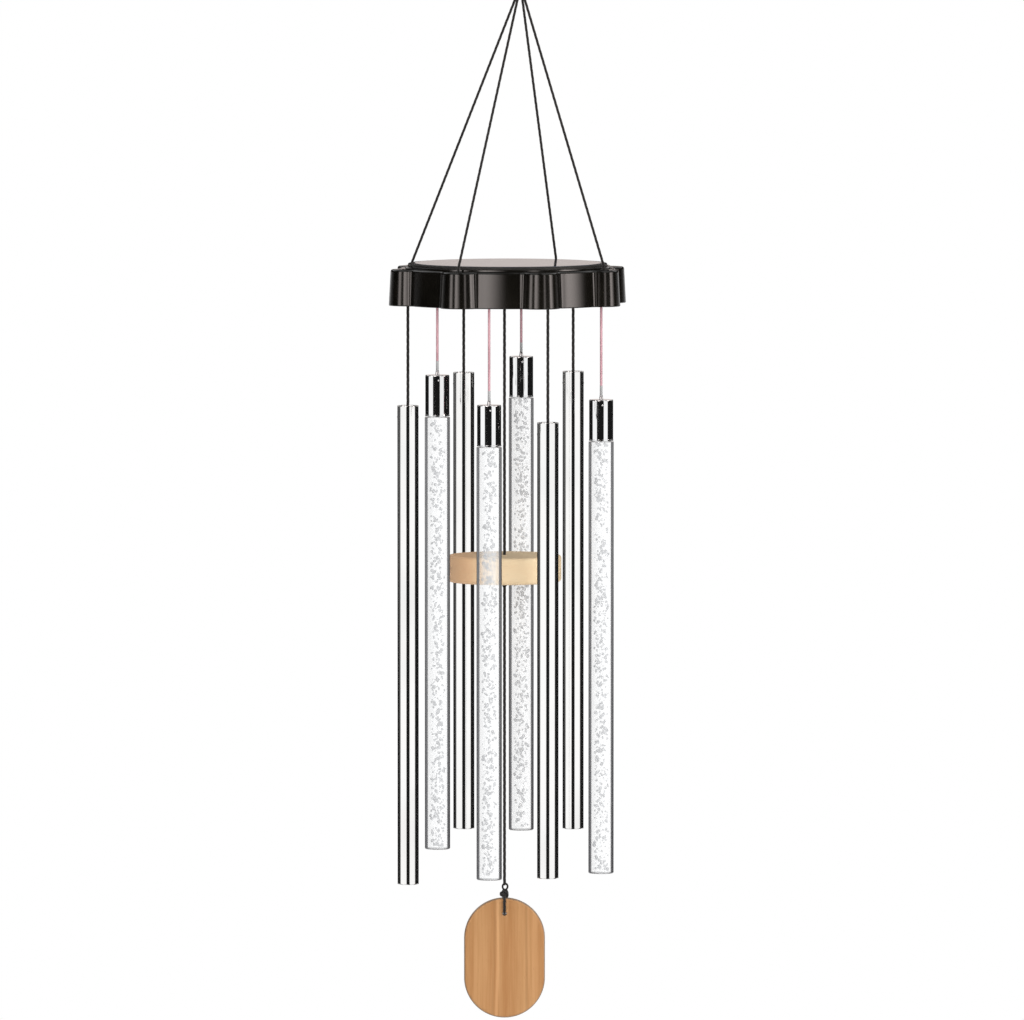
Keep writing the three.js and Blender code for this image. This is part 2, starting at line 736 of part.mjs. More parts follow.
// The wind catcher with the cord, knot and loop that carry it. The origin is the middle cord's pivot.
function windCatcher() {
  const { catcherCordTop, catcherTop: top, catcherKnotTop } = middleLevels();
  const radius = catcherWidth / 2;
  const outline = new THREE.Shape();
  outline.absarc(0, top - radius, radius, 0, Math.PI);
  outline.absarc(0, top - catcherHeight + radius, radius, Math.PI, 2 * Math.PI);
  outline.closePath();
  const board = new THREE.ExtrudeGeometry(outline, {
    depth: catcherThickness - 2 * catcherEdge,
    curveSegments: catcherSteps,
    bevelThickness: catcherEdge,
    bevelSize: catcherEdge,
    bevelOffset: -catcherEdge,
    bevelSegments: edgeSteps,
  });
  board.translate(0, 0, catcherEdge - catcherThickness / 2).rotateX(Math.PI / 2);
  const opening = bar(catcherHoleRadius, -catcherThickness, catcherThickness).rotate([90, 0, 0]);
  const catcher = solid(board).subtract(opening.translate(0, 0, top - catcherHoleDrop));
  const cord = plumbStrand(middleCordDiameter, catcherCordTop, catcherKnotTop + restGap);
  const knot = wrappedKnot(catcherKnotDiameter, catcherKnotTop, catcherKnotHeight);
  return [
    piece("catcher_cord", cord, blackCord),
    piece("catcher_knot", knot, blackCord),
    catcherLoop(),
    piece("wind_catcher", catcher, alder),
  ];
}

const canopy = group(
  -apexShift,
  0,
  deckLevel,
  canopyShell(),
  ...solarTop(),
  basePlate(),
  ...baseScrews(),
  ...electronics(),
  ...chimeTubes.map((tube, i) => chimeTube(tube, i + 1)),
  ...lightRods.map((rod, i) => lightRod(rod, i + 1)),
  group(-middleShift, 0, pivotLevel, ...striker(), ...windCatcher()),
);

const windChime = group(0, 0, 0, ...hanger(), ...suspensionCords(), canopy);

export default windChime;
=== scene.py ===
"""Solar wind chime: fine meshes, finishes, cords and a studio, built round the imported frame."""

import math
import random

import bmesh
import bpy
from mathutils import Matrix, Vector


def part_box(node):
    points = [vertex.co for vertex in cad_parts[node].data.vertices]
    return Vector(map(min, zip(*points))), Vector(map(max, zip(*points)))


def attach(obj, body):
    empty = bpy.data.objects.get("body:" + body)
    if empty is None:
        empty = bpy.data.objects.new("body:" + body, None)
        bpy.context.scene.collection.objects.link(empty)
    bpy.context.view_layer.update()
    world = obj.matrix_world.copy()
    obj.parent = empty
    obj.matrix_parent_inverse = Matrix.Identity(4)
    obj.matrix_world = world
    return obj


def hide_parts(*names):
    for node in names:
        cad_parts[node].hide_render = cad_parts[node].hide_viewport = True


bl_info = {
    "name": "Solar wind chime",
    "version": (1, 0, 0),
    "blender": (4, 5, 0),
    "location": "View3D > Sidebar > Wind chime",
    "description": "Dresses the wind chime's frame with fine meshes, finishes, cords and a studio",
    "category": "Object",
}

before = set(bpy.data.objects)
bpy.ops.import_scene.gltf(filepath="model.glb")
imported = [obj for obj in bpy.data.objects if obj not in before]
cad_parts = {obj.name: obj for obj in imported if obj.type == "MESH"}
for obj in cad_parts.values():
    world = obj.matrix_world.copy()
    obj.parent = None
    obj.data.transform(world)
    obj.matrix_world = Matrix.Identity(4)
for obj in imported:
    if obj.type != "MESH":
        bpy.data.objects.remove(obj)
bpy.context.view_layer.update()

MM = 0.001
TURN = 2 * math.pi
ORIGIN = Vector((0, 0, 0))
BACK = Vector((0, 1, 0))
UP = Vector((0, 0, 1))
# The tubes and the rods, each counted from the left.
NUMBERS = (1, 2, 3, 4)
LOBES = 8
LOBE_PHASE = math.radians(18)
LOBE_PITCH = TURN / LOBES
CORD_LOBES = (1, 3, 5, 7)
CORD_BEND = 2.5 * MM
# Distance between the points of a cord's route.
CORD_STEP = 0.45 * MM
# Radius of the hanging ring's wire and of the tubes' pins.
WIRE_RADIUS = 0.8 * MM
# The catcher's cord hole, below its upper end.
CATCHER_HOLE = 8 * MM
# How far the metal's shading leans down, so that each metal meets its own part of the studio.
TUBE_DRAFT = 0.05
CAP_DRAFT = 0.10
# What polish mirrors: bands that rise between two bearings and fall between two more, and their
# strength. Bearings are in degrees from the front towards the right, and FAR is never reached.
FAR = 400
TUBE_SCREENS = (
    (-21, -15, 14, 20, 1.0), (77, 87, FAR, FAR + 1, 1.0), (-FAR - 1, -FAR, -96, -86, 0.92),
)
CAP_SCREENS = (
    (-45, -41, 23, 27, 1.0), (63, 67, FAR, FAR + 1, 1.0), (-FAR - 1, -FAR, -93, -89, 1.0),
)
CANOPY_STRIPS = (
    (-69, -59, -53, -43, 5.0), (21, 29, 30, 38, 3.2),
    (-35, -28, -26, 0, 6.6), (59, 66, 67, 92, 7.6),
)
BACK_STRIPS = ((142, 158, FAR, FAR + 1, 0.74), (-FAR - 1, -FAR, -158, -142, 0.74))
# Each lamp's place, and its diameter.
LAMPS = {
    "key": ((1.25, -1.55, 0.35), 1.8),
    "fill": ((-0.35, -2.3, 0.0), 1.0),
    "back": ((-0.9, 1.9, 0.2), 1.2),
}


def mm(*values):
    return [v * MM for v in values]


def middle(node):
    """The centre of a node's box."""
    low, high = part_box(node)
    return (low + high) / 2


def bottom(node):
    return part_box(node)[0].z


def top(node):
    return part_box(node)[1].z


def half_span(node, axis="x"):
    """Half of a node's size along an axis."""
    low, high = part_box(node)
    return 0.5 * (getattr(high, axis) - getattr(low, axis))


def at_level(point, level):
    """The place over or under a point at a level."""
    return Vector((point.x, point.y, level))


def lobe_way(lobe):
    """The direction from the canopy's axis to one of its lobes."""
    bearing = LOBE_PHASE + lobe * LOBE_PITCH
    return Vector((math.cos(bearing), math.sin(bearing), 0))


def toned(colour, factor, lift=0.0):
    """A colour made darker or lighter."""
    return tuple(min(1.0, factor * c + lift) for c in colour)


AXIS = middle("solar_panel")
PLUMB = middle("striker_cord")


def number_property(name, words, default, **more):
    return bpy.props.FloatProperty(name=name, description=words, default=default, min=0.0, **more)


def length_property(name, words, default):
    return number_property(name, words, default, precision=5, unit="LENGTH")


def share_property(name, words, default):
    return number_property(name, words, default, max=1.0, subtype="FACTOR")


def power_property(name, words, default):
    return number_property(name, words, default, unit="POWER")


def place_property(name, words, default):
    return bpy.props.FloatVectorProperty(
        name=name, description=words, default=default, precision=5, unit="LENGTH"
    )


def colour_property(name, words, default):
    return bpy.props.FloatVectorProperty(
        name=name, description=words, default=default, size=3, min=0.0, max=1.0, subtype="COLOR"
    )


class CanopySizes(bpy.types.PropertyGroup):
    """Sizes of the scalloped canopy."""

    recess_radius: length_property("Recess radius", "Wall between lobes, from the axis", 55.4 * MM)
    lobe_radius: length_property("Lobe radius", "Roundness of a lobe", 10.1 * MM)
    lobe_reach: length_property("Lobe reach", "How far a lobe stands out of the wall", 7.1 * MM)
    lobe_fillet: length_property("Lobe fillet", "Hollow between a lobe and the wall", 3 * MM)
    wall: length_property("Wall", "Thickness of the moulding", 1.8 * MM)
    flare: length_property("Flare", "How far the wall leans out at its foot", 1 * MM)
    edge: length_property("Edge", "Rounding of the upper edge", 1.2 * MM)
    foot_edge: length_property("Foot edge", "Rounding of the lower edge", 0.35 * MM)
    shoulder_rise: length_property("Shoulder rise", "Height of the plateau over the edge", 0.8 * MM)
    plateau_radius: length_property("Plateau radius", "Flat top that carries the panel", 50.9 * MM)
    lip: length_property("Lip", "Height of the plateau's rim over the plateau", 0.35 * MM)
    deck: length_property("Deck", "Thickness of the top", 1.6 * MM)
    lead_hole: length_property("Lead hole", "Radius of the hole for the panel's leads", 2.5 * MM)


class CordSizes(bpy.types.PropertyGroup):
    """Sizes of the cords, strings and wires."""

    suspension: length_property("Suspension cord", "Diameter of the four cords", 1.4 * MM)
    string: length_property("Tube string", "Diameter of a tube's string", 1.6 * MM)
    middle: length_property("Middle cord", "Diameter of the striker's cord", 1.6 * MM)
    wire: length_property("Lamp wire", "Diameter of a rod's wire", 1.3 * MM)
    lay: length_property("Lay", "Length of one turn of the cord's strands", 3.6 * MM)
    strand_depth: share_property("Strand depth", "Depth of the grooves between strands", 0.16)
    cord_circle: length_property("Cord circle", "Cord holes, from the canopy's axis", 54.4 * MM)


class RodSizes(bpy.types.PropertyGroup):
    """Sizes of the tubes, rods and bubbles."""

    tube_wall: length_property("Tube wall", "Wall of a metal tube", 0.9 * MM)
    bubbles: bpy.props.IntProperty(
        name="Bubbles", description="Bubbles in one clear rod", default=760, min=0
    )
    bubble_radius: length_property("Bubble radius", "Usual bubble", 0.43 * MM)
    bubble_core: share_property("Bubble core", "Share of the rod's radius with bubbles", 0.56)


class Colours(bpy.types.PropertyGroup):
    """Colours of the finishes."""

    canopy: colour_property("Canopy", "Espresso plastic", (0.0040, 0.0034, 0.0025))
    inner: colour_property("Base plate", "Satin black plastic", (0.012, 0.011, 0.010))
    board: colour_property("Circuit board", "Solder mask", (0.02, 0.16, 0.06))
    battery: colour_property("Battery", "Sleeve of the cell", (0.06, 0.26, 0.1))
    cell: colour_property("Solar cell", "Dark silicon", (0.016, 0.017, 0.026))
    cell_line: colour_property("Cell lines", "Printed conductor lines", (0.075, 0.075, 0.08))
    cord: colour_property("Cord", "Black polyester", (0.016, 0.014, 0.013))
    wire: colour_property("Wire", "Pale red insulation", (0.51, 0.27, 0.305))
    sleeve: colour_property("Sleeve", "Grey end of a wire", (0.30, 0.295, 0.295))
    steel: colour_property("Steel", "Zinc-plated wire", (0.62, 0.62, 0.63))
    tube: colour_property("Tube", "Polished aluminium", (0.93, 0.925, 0.915))
    chrome: colour_property("Chrome", "Cap plating", (0.90, 0.905, 0.91))
    lamp: colour_property("Lamp", "Lens over a lamp", (0.86, 0.84, 0.74))
    acrylic: colour_property("Acrylic", "Clear rod", (0.93, 0.94, 0.95))
    # Painted shade: the rod's dark outline, where its skin is seen edge on.
    acrylic_painted_outline: colour_property("Acrylic edge", "Rod seen along its skin", (0.085, 0.085, 0.09))
    bubble: colour_property("Bubble", "Heart of a bubble", (0.50, 0.51, 0.54))
    # Painted shade round each bubble's rim, where it is seen edge on.
    bubble_painted_rim: colour_property("Bubble rim", "Edge of a bubble", (0.05, 0.05, 0.06))
    maple: colour_property("Maple", "Striker, pale wood", (0.97, 0.76, 0.49))
    maple_dark: colour_property("Maple dark", "Striker, grain", (0.94, 0.69, 0.42))
    # Painted shade: a warmer, darker band on the striker's left side, away from the key light.
    painted_left_shade: colour_property("Left side shade", "Striker, warmer left side", (0.90, 0.50, 0.26))
    alder: colour_property("Alder", "Catcher, pale wood", (0.57, 0.307, 0.132))
    alder_dark: colour_property("Alder dark", "Catcher, grain", (0.42, 0.19, 0.065))
    # Painted shade on the catcher's rounded edges.
    painted_edge_shade: colour_property("Shaded edge", "Catcher's cut edge", (0.26, 0.20, 0.15))


class Studio(bpy.types.PropertyGroup):
    """Camera and light."""

    camera_place: place_property("Camera", "Camera's place", (-0.0042, -6.5, 0.1065))
    camera_aim: place_property("Aim", "Point the camera looks at", (-0.0042, 0, -0.3108))
    lens: number_property("Lens", "Focal length", 452.3, unit="CAMERA")
    ambient: number_property("Ambient", "Even light from all round", 0.36)
    key: power_property("Key", "Soft light from the front right", 29.0)
    fill: power_property("Fill", "Soft light from the front", 15.0)
    back: power_property("Back", "Soft light from behind", 14.0)
    floor_level: length_property("Floor", "Floor below the hanging point", 0.9)
    floor_radius: length_property("Floor radius", "Where the floor has faded away", 1.6)


class Value:
    """A node's output in Python expressions, each of which adds a Math node."""

    def __init__(self, finish, socket):
        self.finish = finish
        self.socket = socket

    def __add__(self, other):
        return self.finish.math("ADD", self, other)

    def __radd__(self, other):
        return self.finish.math("ADD", other, self)

    def __sub__(self, other):
        return self.finish.math("SUBTRACT", self, other)

    def __rsub__(self, other):
        return self.finish.math("SUBTRACT", other, self)

    def __mul__(self, other):
        return self.finish.math("MULTIPLY", self, other)

    def __rmul__(self, other):
        return self.finish.math("MULTIPLY", other, self)


class Finish:
    """The node tree of a material or of the world."""

    def __init__(self, owner):
        owner.use_nodes = True
        self.owner = owner
        self.tree = owner.node_tree
        self.tree.nodes.clear()

    @staticmethod
    def pick(sockets, key):
        """A socket by its place or name, or the first in use."""
        if isinstance(key, int):
            return sockets[key]
        return next(s for s in sockets if s.enabled and key in (None, s.name))

    def node(self, kind, settings=None, inputs=None, output=None):
        """Adds a node: its settings are set first, then its sockets' values or links."""
        made = self.tree.nodes.new(kind)
        for name, value in (settings or {}).items():
            setattr(made, name, value)
        for key, value in (inputs or {}).items():
            socket = self.pick(made.inputs, key)
            if isinstance(value, Value):
                self.tree.links.new(value.socket, socket)
            elif socket.type == "RGBA":
                socket.default_value = (*value, 1.0)
            else:
                socket.default_value = value
        if len(made.outputs):
            return Value(self, self.pick(made.outputs, output))
        return None

    def math(self, operation, *values):
        return self.node("ShaderNodeMath", {"operation": operation}, dict(enumerate(values)))

    def part(self, vector, axis):
        """One of a vector's three numbers."""
        return self.node("ShaderNodeSeparateXYZ", {}, {0: vector}, axis)

    def place(self, scale=1.0):
        """The piece's own coordinates in metres, stretched by scale."""
        coordinates = self.node("ShaderNodeTexCoord", output="Object")
        scale = (scale,) * 3 if isinstance(scale, (int, float)) else scale
        return self.node("ShaderNodeMapping", {}, {"Vector": coordinates, "Scale": scale})

    def noise(self, scale, detail=2.0, rough=0.5, twist=0.0):
        """Noise from 0 to 1 with scale grains per metre, or as many along each axis."""
        inputs = {
            "Vector": self.place(scale), "Scale": 1.0, "Detail": detail,
            "Roughness": rough, "Distortion": twist,
        }
        return self.node("ShaderNodeTexNoise", {}, inputs)

    def smooth(self, value, low, high, start=0.0, end=1.0):
        """A soft step from start to end as value goes from low to high."""
        inputs = {"Value": value, "From Min": low, "From Max": high, "To Min": start, "To Max": end}
        return self.node("ShaderNodeMapRange", {"interpolation_type": "SMOOTHSTEP"}, inputs)

    def window(self, value, low, high, soft):
        """1 where value lies between low and high, with soft edges."""
        opened = self.smooth(value, low - soft, low + soft)
        return opened * self.smooth(value, high - soft, high + soft, 1, 0)

    def mix(self, factor, first, second):
        """A colour between two colours."""
        inputs = {"Factor": factor, "A": first, "B": second}
        return self.node("ShaderNodeMix", {"data_type": "RGBA"}, inputs)

    def bump(self, height, distance, strength):
        inputs = {"Height": height, "Distance": distance, "Strength": strength}
        return self.node("ShaderNodeBump", {}, inputs)

    def facing(self, **normal):
        """0 where the skin, or another Normal, faces the viewer, 1 where it is seen edge on."""
        return self.node("ShaderNodeLayerWeight", {}, {"Blend": 0.5, **normal}, "Facing")

    def across(self):
        """The same over the width of an upright rod, from whatever height it is seen.

        The slack keeps the value finite for a view from right above."""
        slack = 0.02
        rise = 1 - self.facing(Normal=self.node("ShaderNodeCombineXYZ", {}, {"Z": 1.0}))
        widened = self.math("INVERSE_SQRT", 1 + slack - rise * rise)
        return 1 - (1 - self.facing()) * widened

    def rays(self):
        """Whether a ray comes from the camera, from gloss or through a clear part."""
        kinds = ("Camera", "Glossy", "Transmission")
        return [self.node("ShaderNodeLightPath", output=f"Is {kind} Ray") for kind in kinds]

    def surface(self, **inputs):
        """Ends the tree with a Principled shader and gives the material.

        An input's name is its socket's, with _ for a space."""
        sockets = {name.replace("_", " "): value for name, value in inputs.items()}
        shader = self.node("ShaderNodeBsdfPrincipled", {}, sockets)
        self.node("ShaderNodeOutputMaterial", {}, {"Surface": shader})
        return self.owner


def new_finish(name):
    return Finish(bpy.data.materials.new(name))


def canopy_plastic(colours):
    """Glossy moulded plastic with faint flow marks."""
    fin = new_finish("canopy_plastic")
    cloud = fin.noise(60, detail=3)
    warm = toned(colours.canopy, 1.8)
    return fin.surface(
        Base_Color=fin.mix(fin.smooth(cloud, 0.35, 0.7), colours.canopy, warm),
        Roughness=0.13 + 0.06 * cloud,
        Specular_IOR_Level=0.34,
        Coat_Weight=0.12 + 0.10 * cloud,
        Coat_Roughness=0.06,
        Normal=fin.bump(fin.noise(1500), distance=0.006 * MM, strength=0.2),
    )


def satin_plastic(name, colour):
    """Matt moulded plastic with a fine spark-eroded grain."""
    fin = new_finish(name)
    grain = fin.noise(3200, detail=3)
    return fin.surface(
        Base_Color=fin.mix(fin.noise(90), colour, toned(colour, 1.8)),
        Roughness=0.42 + 0.16 * grain,
        Specular_IOR_Level=0.4,
        Normal=fin.bump(grain, distance=0.03 * MM, strength=0.5),
    )


def solar_cell(colours):
    """Dark silicon with printed lines under a clear resin coat."""
    fin = new_finish("solar_cell")

    def lines(axis, pitch, width, soft):
        """Lines a pitch apart, with their width and soft edge as shares of it."""
        wave = fin.math("PINGPONG", fin.part(fin.place(), axis), pitch / 2)
        return fin.smooth(wave * (2 / pitch), width - soft, width + soft, 1, 0)

    fingers = lines("X", 2.3 * MM, width=0.16, soft=0.05)
    gaps = lines("Y", 15.2 * MM, width=0.045, soft=0.012)
    crystal = fin.noise(140, detail=4, rough=0.6)
    blue = tuple(c * k for c, k in zip(colours.cell, (1.6, 1.9, 2.6)))
    silicon = fin.mix(fin.smooth(crystal, 0.35, 0.65), colours.cell, blue)
    printed = fin.mix(0.4 * fingers, silicon, colours.cell_line)
    return fin.surface(
        Base_Color=fin.mix(gaps, printed, toned(colours.cell_line, 0.5)),
        Roughness=0.32 - 0.04 * fingers,
        Coat_Weight=0.85 + 0.1 * crystal,
        Coat_Roughness=0.05,
        Specular_IOR_Level=0.5,
        Normal=fin.bump(fin.noise(45, detail=1), distance=0.02 * MM, strength=0.2),
    )


def metal(name, colour, roughness, streak, scale, draft=0.0):
    """Polished or drawn metal: fine streaks vary its gloss, and draft tips its polish downwards."""
    fin = new_finish(name)
    drawn = fin.noise(scale, detail=3, rough=0.6)
    smear = fin.noise((55, 55, 18))
    normal = fin.bump(drawn, distance=0.0005 * MM, strength=0.2)
    if draft:
        lean = {0: normal, 1: (0, 0, -draft)}
        normal = fin.node("ShaderNodeVectorMath", {"operation": "ADD"}, lean)
        normal = fin.node("ShaderNodeVectorMath", {"operation": "NORMALIZE"}, {0: normal})
    return fin.surface(
        Base_Color=fin.mix(fin.smooth(smear, 0.4, 0.75), colour, toned(colour, 0.90)),
        Metallic=1.0,
        Roughness=roughness + streak * drawn + 0.5 * streak * smear,
        Normal=normal,
    )


def braided_cord(colours):
    """Dull polyester strands with paler, worn fibres."""
    fin = new_finish("braided_cord")
    fibre = fin.noise((5200, 5200, 1500), detail=3, rough=0.7)
    worn = fin.smooth(fibre * 0.7 + fin.noise((420, 420, 160)) * 0.3, 0.45, 0.8)
    return fin.surface(
        Base_Color=fin.mix(worn, colours.cord, toned(colours.cord, 3.2)),
        Roughness=0.7 + 0.25 * fibre,
        Sheen_Weight=0.25,
        Sheen_Roughness=0.5,
        Specular_IOR_Level=0.25,
        Normal=fin.bump(fibre, distance=0.06 * MM, strength=0.7),
    )


def wire_insulation(colours):
    """Soft pale red plastic, faded in places."""
    fin = new_finish("wire_insulation")
    cloud = fin.noise((300, 300, 90))
    faded = toned(colours.wire, 1.25, lift=0.06)
    return fin.surface(
        Base_Color=fin.mix(fin.smooth(cloud, 0.3, 0.7), colours.wire, faded),
        Roughness=0.35 + 0.2 * cloud,
        Normal=fin.bump(fin.noise((2400, 2400, 500)), distance=0.02 * MM, strength=0.4),
    )


def clear_acrylic(colours):
    """Clear rod: milky along its heart, with painted shade along its outline, and little bar to
    light.

    Its far skin is nearly clear, so that the haze counts once."""
    fin = new_finish("clear_acrylic")
    across = fin.across()
    # Painted shade: the outline takes the dark edge colour where the skin is seen edge on.
    outline = fin.smooth(across, 0.31, 0.43)
    brink = fin.smooth(across, 0.10, 0.26)
    haze = fin.noise((420, 420, 120), detail=3, rough=0.6)
    normal = fin.node("ShaderNodeTexCoord", output="Normal")
    # Painted shade: the outline is drawn lighter on the left and darker on the right.
    right = fin.smooth(fin.part(normal, "X"), -0.6, 0.6)
    edge = fin.mix(right, toned(colours.acrylic_painted_outline, 2.4), colours.acrylic_painted_outline)
    far_side = fin.node("ShaderNodeNewGeometry", output="Backfacing")
    milky = (0.47 + 0.10 * haze) * (1 - 0.3 * brink)
    skin = milky * (1 - 0.88 * far_side * (1 - outline)) + 0.56 * outline
    shadow = fin.node("ShaderNodeLightPath", output="Is Shadow Ray")
    return fin.surface(
        Base_Color=fin.mix(outline, colours.acrylic, edge),
        Roughness=0.05 + 0.05 * haze,
        Specular_IOR_Level=0.5,
        Alpha=skin * (1 - 0.85 * shadow),
        Normal=fin.bump(haze, distance=0.02 * MM, strength=0.2),
    )


def seed_bubble(colours):
    """Trapped air: bright in the middle of each bubble, with painted shade round its rim."""
    fin = new_finish("seed_bubble")
    # Painted shade: the rim darkens where the bubble is seen edge on.
    rim = fin.smooth(fin.facing(), 0.12, 0.62)
    tone = fin.noise(700, detail=1)
    heart = fin.mix(fin.smooth(tone, 0.35, 0.65), toned(colours.bubble, 0.45), colours.bubble)
    return fin.surface(
        Base_Color=fin.mix(rim, heart, colours.bubble_painted_rim),
        Roughness=0.08 + 0.1 * tone,
        Coat_Weight=0.6,
        Coat_Roughness=0.03,
        Alpha=0.75 + 0.2 * rim,
    )


def lamp_lens(colours):
    """Cloudy resin over a lamp."""
    fin = new_finish("lamp_lens")
    cloud = fin.noise(900)
    return fin.surface(
        Base_Color=fin.mix(cloud, colours.lamp, colours.acrylic),
        Roughness=0.18 + 0.1 * cloud,
        Coat_Weight=0.4,
        Coat_Roughness=0.05,
    )


def wood(name, pale, dark, along, streaks, painted_edge_shade=None):
    """Planed wood: growth bands, fibres and pores along one axis, with a few strong streaks.

    A streak is (place across the grain, half width, colour, strength). Edges that turn away from
    the front and back take a painted shade."""
    fin = new_finish(name)

    def stretched(across, lengthwise):
        return tuple(lengthwise if axis == along else across for axis in range(3))

    bend = fin.noise(stretched(70, 9))
    band = fin.noise(stretched(210, 6), detail=3, rough=0.55, twist=0.8)
    fibre = fin.noise(stretched(2600, 55), detail=3, rough=0.65)
    pore = fin.smooth(fin.noise(stretched(3600, 260)), 0.64, 0.74)
    tone = fin.smooth(band * 0.8 + fibre * 0.3 - 0.05, 0.30, 0.78)
    colour = fin.mix(tone, pale, dark)
    across = fin.part(fin.place(), "X") + (bend - 0.5) * (4.5 * MM)
    for place, half, tint, strength in streaks:
        mask = fin.window(across, place - half, place + half, 0.7 * half) * (0.5 + 0.5 * fibre)
        colour = fin.mix(strength * mask, colour, tint)
    colour = fin.mix(0.3 * pore, colour, toned(dark, 0.55))
    if painted_edge_shade is not None:
        # Painted shade: the rounded edges, which turn away from the front and back, take a grey
        # brown.
        normal = fin.node("ShaderNodeTexCoord", output="Normal")
        face = fin.math("ABSOLUTE", fin.part(normal, "Y"))
        colour = fin.mix(fin.smooth(face, 0.55, 0.97, 0.8, 0), colour, painted_edge_shade)
    return fin.surface(
        Base_Color=colour,
        Roughness=0.5 + 0.14 * fibre,
        Coat_Weight=0.08 + 0.06 * (1 - pore),
        Coat_Roughness=0.25,
        Specular_IOR_Level=0.35,
        Normal=fin.bump(fibre * 0.7 + band * 0.3 - pore, distance=0.05 * MM, strength=0.4),
    )


def solder_mask(colours):
    """Varnish over the board's copper tracks."""
    fin = new_finish("solder_mask")
    cells = {"Vector": fin.place((260, 260, 1))}
    lane = fin.node("ShaderNodeTexVoronoi", {"feature": "DISTANCE_TO_EDGE"}, cells)
    track = fin.smooth(lane, 0.05, 0.09, 1, 0)
    return fin.surface(
        Base_Color=fin.mix(track, colours.board, toned(colours.board, 1.8)),
        Roughness=0.4 - 0.1 * track,
        Normal=fin.bump(track, distance=0.03 * MM, strength=0.6),
    )


class Form:
    """Points and faces of a piece while it is put together."""

    def __init__(self):
        self.points = []
        self.faces = []

    def loft(self, rows, cyclic=False):
        """Joins closed rows of points into a skin. A row of one point is a pole."""
        numbered = []
        for row in rows:
            start = len(self.points)
            self.points.extend(Vector(p) for p in row)
            numbered.append(range(start, start + len(row)))
        pairs = list(zip(numbered, numbered[1:]))
        if cyclic:
            pairs.append((numbered[-1], numbered[0]))
        for low, high in pairs:
            count = max(len(low), len(high))
            for i in range(count):
                j = (i + 1) % count
                corners = [low[k % len(low)] for k in (i, j)]
                corners += [high[k % len(high)] for k in (j, i)]
                self.faces.append(list(dict.fromkeys(corners)))
        return self

    def lathe(self, profile, centre, sides, cyclic=False):
        """Turns a profile of (radius, height) points round an upright axis."""
        rows = []
        for radius, height in profile:
            count = sides if radius > 1e-8 else 1
            turns = (TURN * i / sides for i in range(count))
            rows.append([
                (centre.x + radius * math.cos(t), centre.y + radius * math.sin(t), height)
                for t in turns
            ])
        return self.loft(rows, cyclic)

    def turned(self, corners, radius, centre, sides, steps=5, support=0.0, hollow=False):
        """Turns corners with rounded edges. A hollow form's corners make a ring."""
        profile = rounded(corners, radius, steps, support, hollow)
        return self.lathe(profile, centre, sides, hollow)

    def sweep(self, route, radius, sides=12, domed=False):
        """A rod along a route. radius is a number, or a function of the way along and the turn."""
        reach = radius if callable(radius) else lambda distance, turn: radius
        ahead = [(b - a).normalized() for a, b in zip(route, route[1:])]
        between = [(a + b).normalized() for a, b in zip(ahead, ahead[1:])]
        ahead = [ahead[0]] + between + [ahead[-1]]
        side = ahead[0].orthogonal().normalized()
        rows = []
        distance = 0.0
        for i, (point, way) in enumerate(zip(route, ahead)):
            if i:
                distance += (point - route[i - 1]).length
                side = (side - way * side.dot(way)).normalized()
            lift = way.cross(side)
            ring = []
            for k in range(sides):
                turn = TURN * k / sides
                out = side * math.cos(turn) + lift * math.sin(turn)
                ring.append(point + out * reach(distance, turn))
            rows.append(ring)
        if domed:
            first = self.dome(rows[0], route[0], -ahead[0])[::-1]
            rows = first + rows + self.dome(rows[-1], route[-1], ahead[-1])
        else:
            rows = [[route[0]]] + rows + [[route[-1]]]
        return self.loft(rows)

    @staticmethod
    def dome(ring, centre, way, steps=5):
        """Rows that close a round end."""
        reach = (ring[0] - centre).length
        rows = []
        for i in range(1, steps):
            turn = 0.25 * TURN * i / steps
            rise = way * reach * math.sin(turn)
            rows.append([centre + (p - centre) * math.cos(turn) + rise for p in ring])
        return rows + [[centre + way * reach]]

    def moved(self, matrix):
        self.points = [matrix @ p for p in self.points]
        return self

    def join(self, points, faces):
        start = len(self.points)
        self.points.extend(points)
        self.faces.extend([start + i for i in face] for face in faces)
        return self

    def mesh(self, name):
        made = bpy.data.meshes.new(name)
        made.from_pydata([tuple(p) for p in self.points], [], self.faces)
        return made


def rounded(corners, radius, steps=5, support=0.0, cyclic=False):
    """A line of points with an arc in place of each corner, and support points beside the arcs.

    radius is one number, or one for each corner."""
    corners = [Vector(c) for c in corners]
    count = len(corners)
    radii = radius if isinstance(radius, list) else [radius] * count
    points = []
    for i, corner in enumerate(corners):
        if not cyclic and i in (0, count - 1):
            points.append(corner)
            continue
        back = (corners[i - 1] - corner).normalized()
        ahead = (corners[(i + 1) % count] - corner).normalized()
        half = back.angle(ahead) / 2
        reach = radii[i] / math.tan(half)
        centre = corner + (back + ahead).normalized() * (radii[i] / math.sin(half))
        first = corner + back * reach - centre
        last = corner + ahead * reach - centre
        sweep = first.angle(last)
        if support:
            points.append(corner + back * (reach + support))
        for k in range(steps + 1):
            share = k / steps
            start = math.sin((1 - share) * sweep) / math.sin(sweep)
            end = math.sin(share * sweep) / math.sin(sweep)
            points.append(centre + first * start + last * end)
        if support:
            points.append(corner + ahead * (reach + support))
    return points


def ring_corners(inner, outer, low, high):
    """Section of a plain ring, as (radius, height) corners."""
    return [(inner, low), (outer, low), (outer, high), (inner, high)]


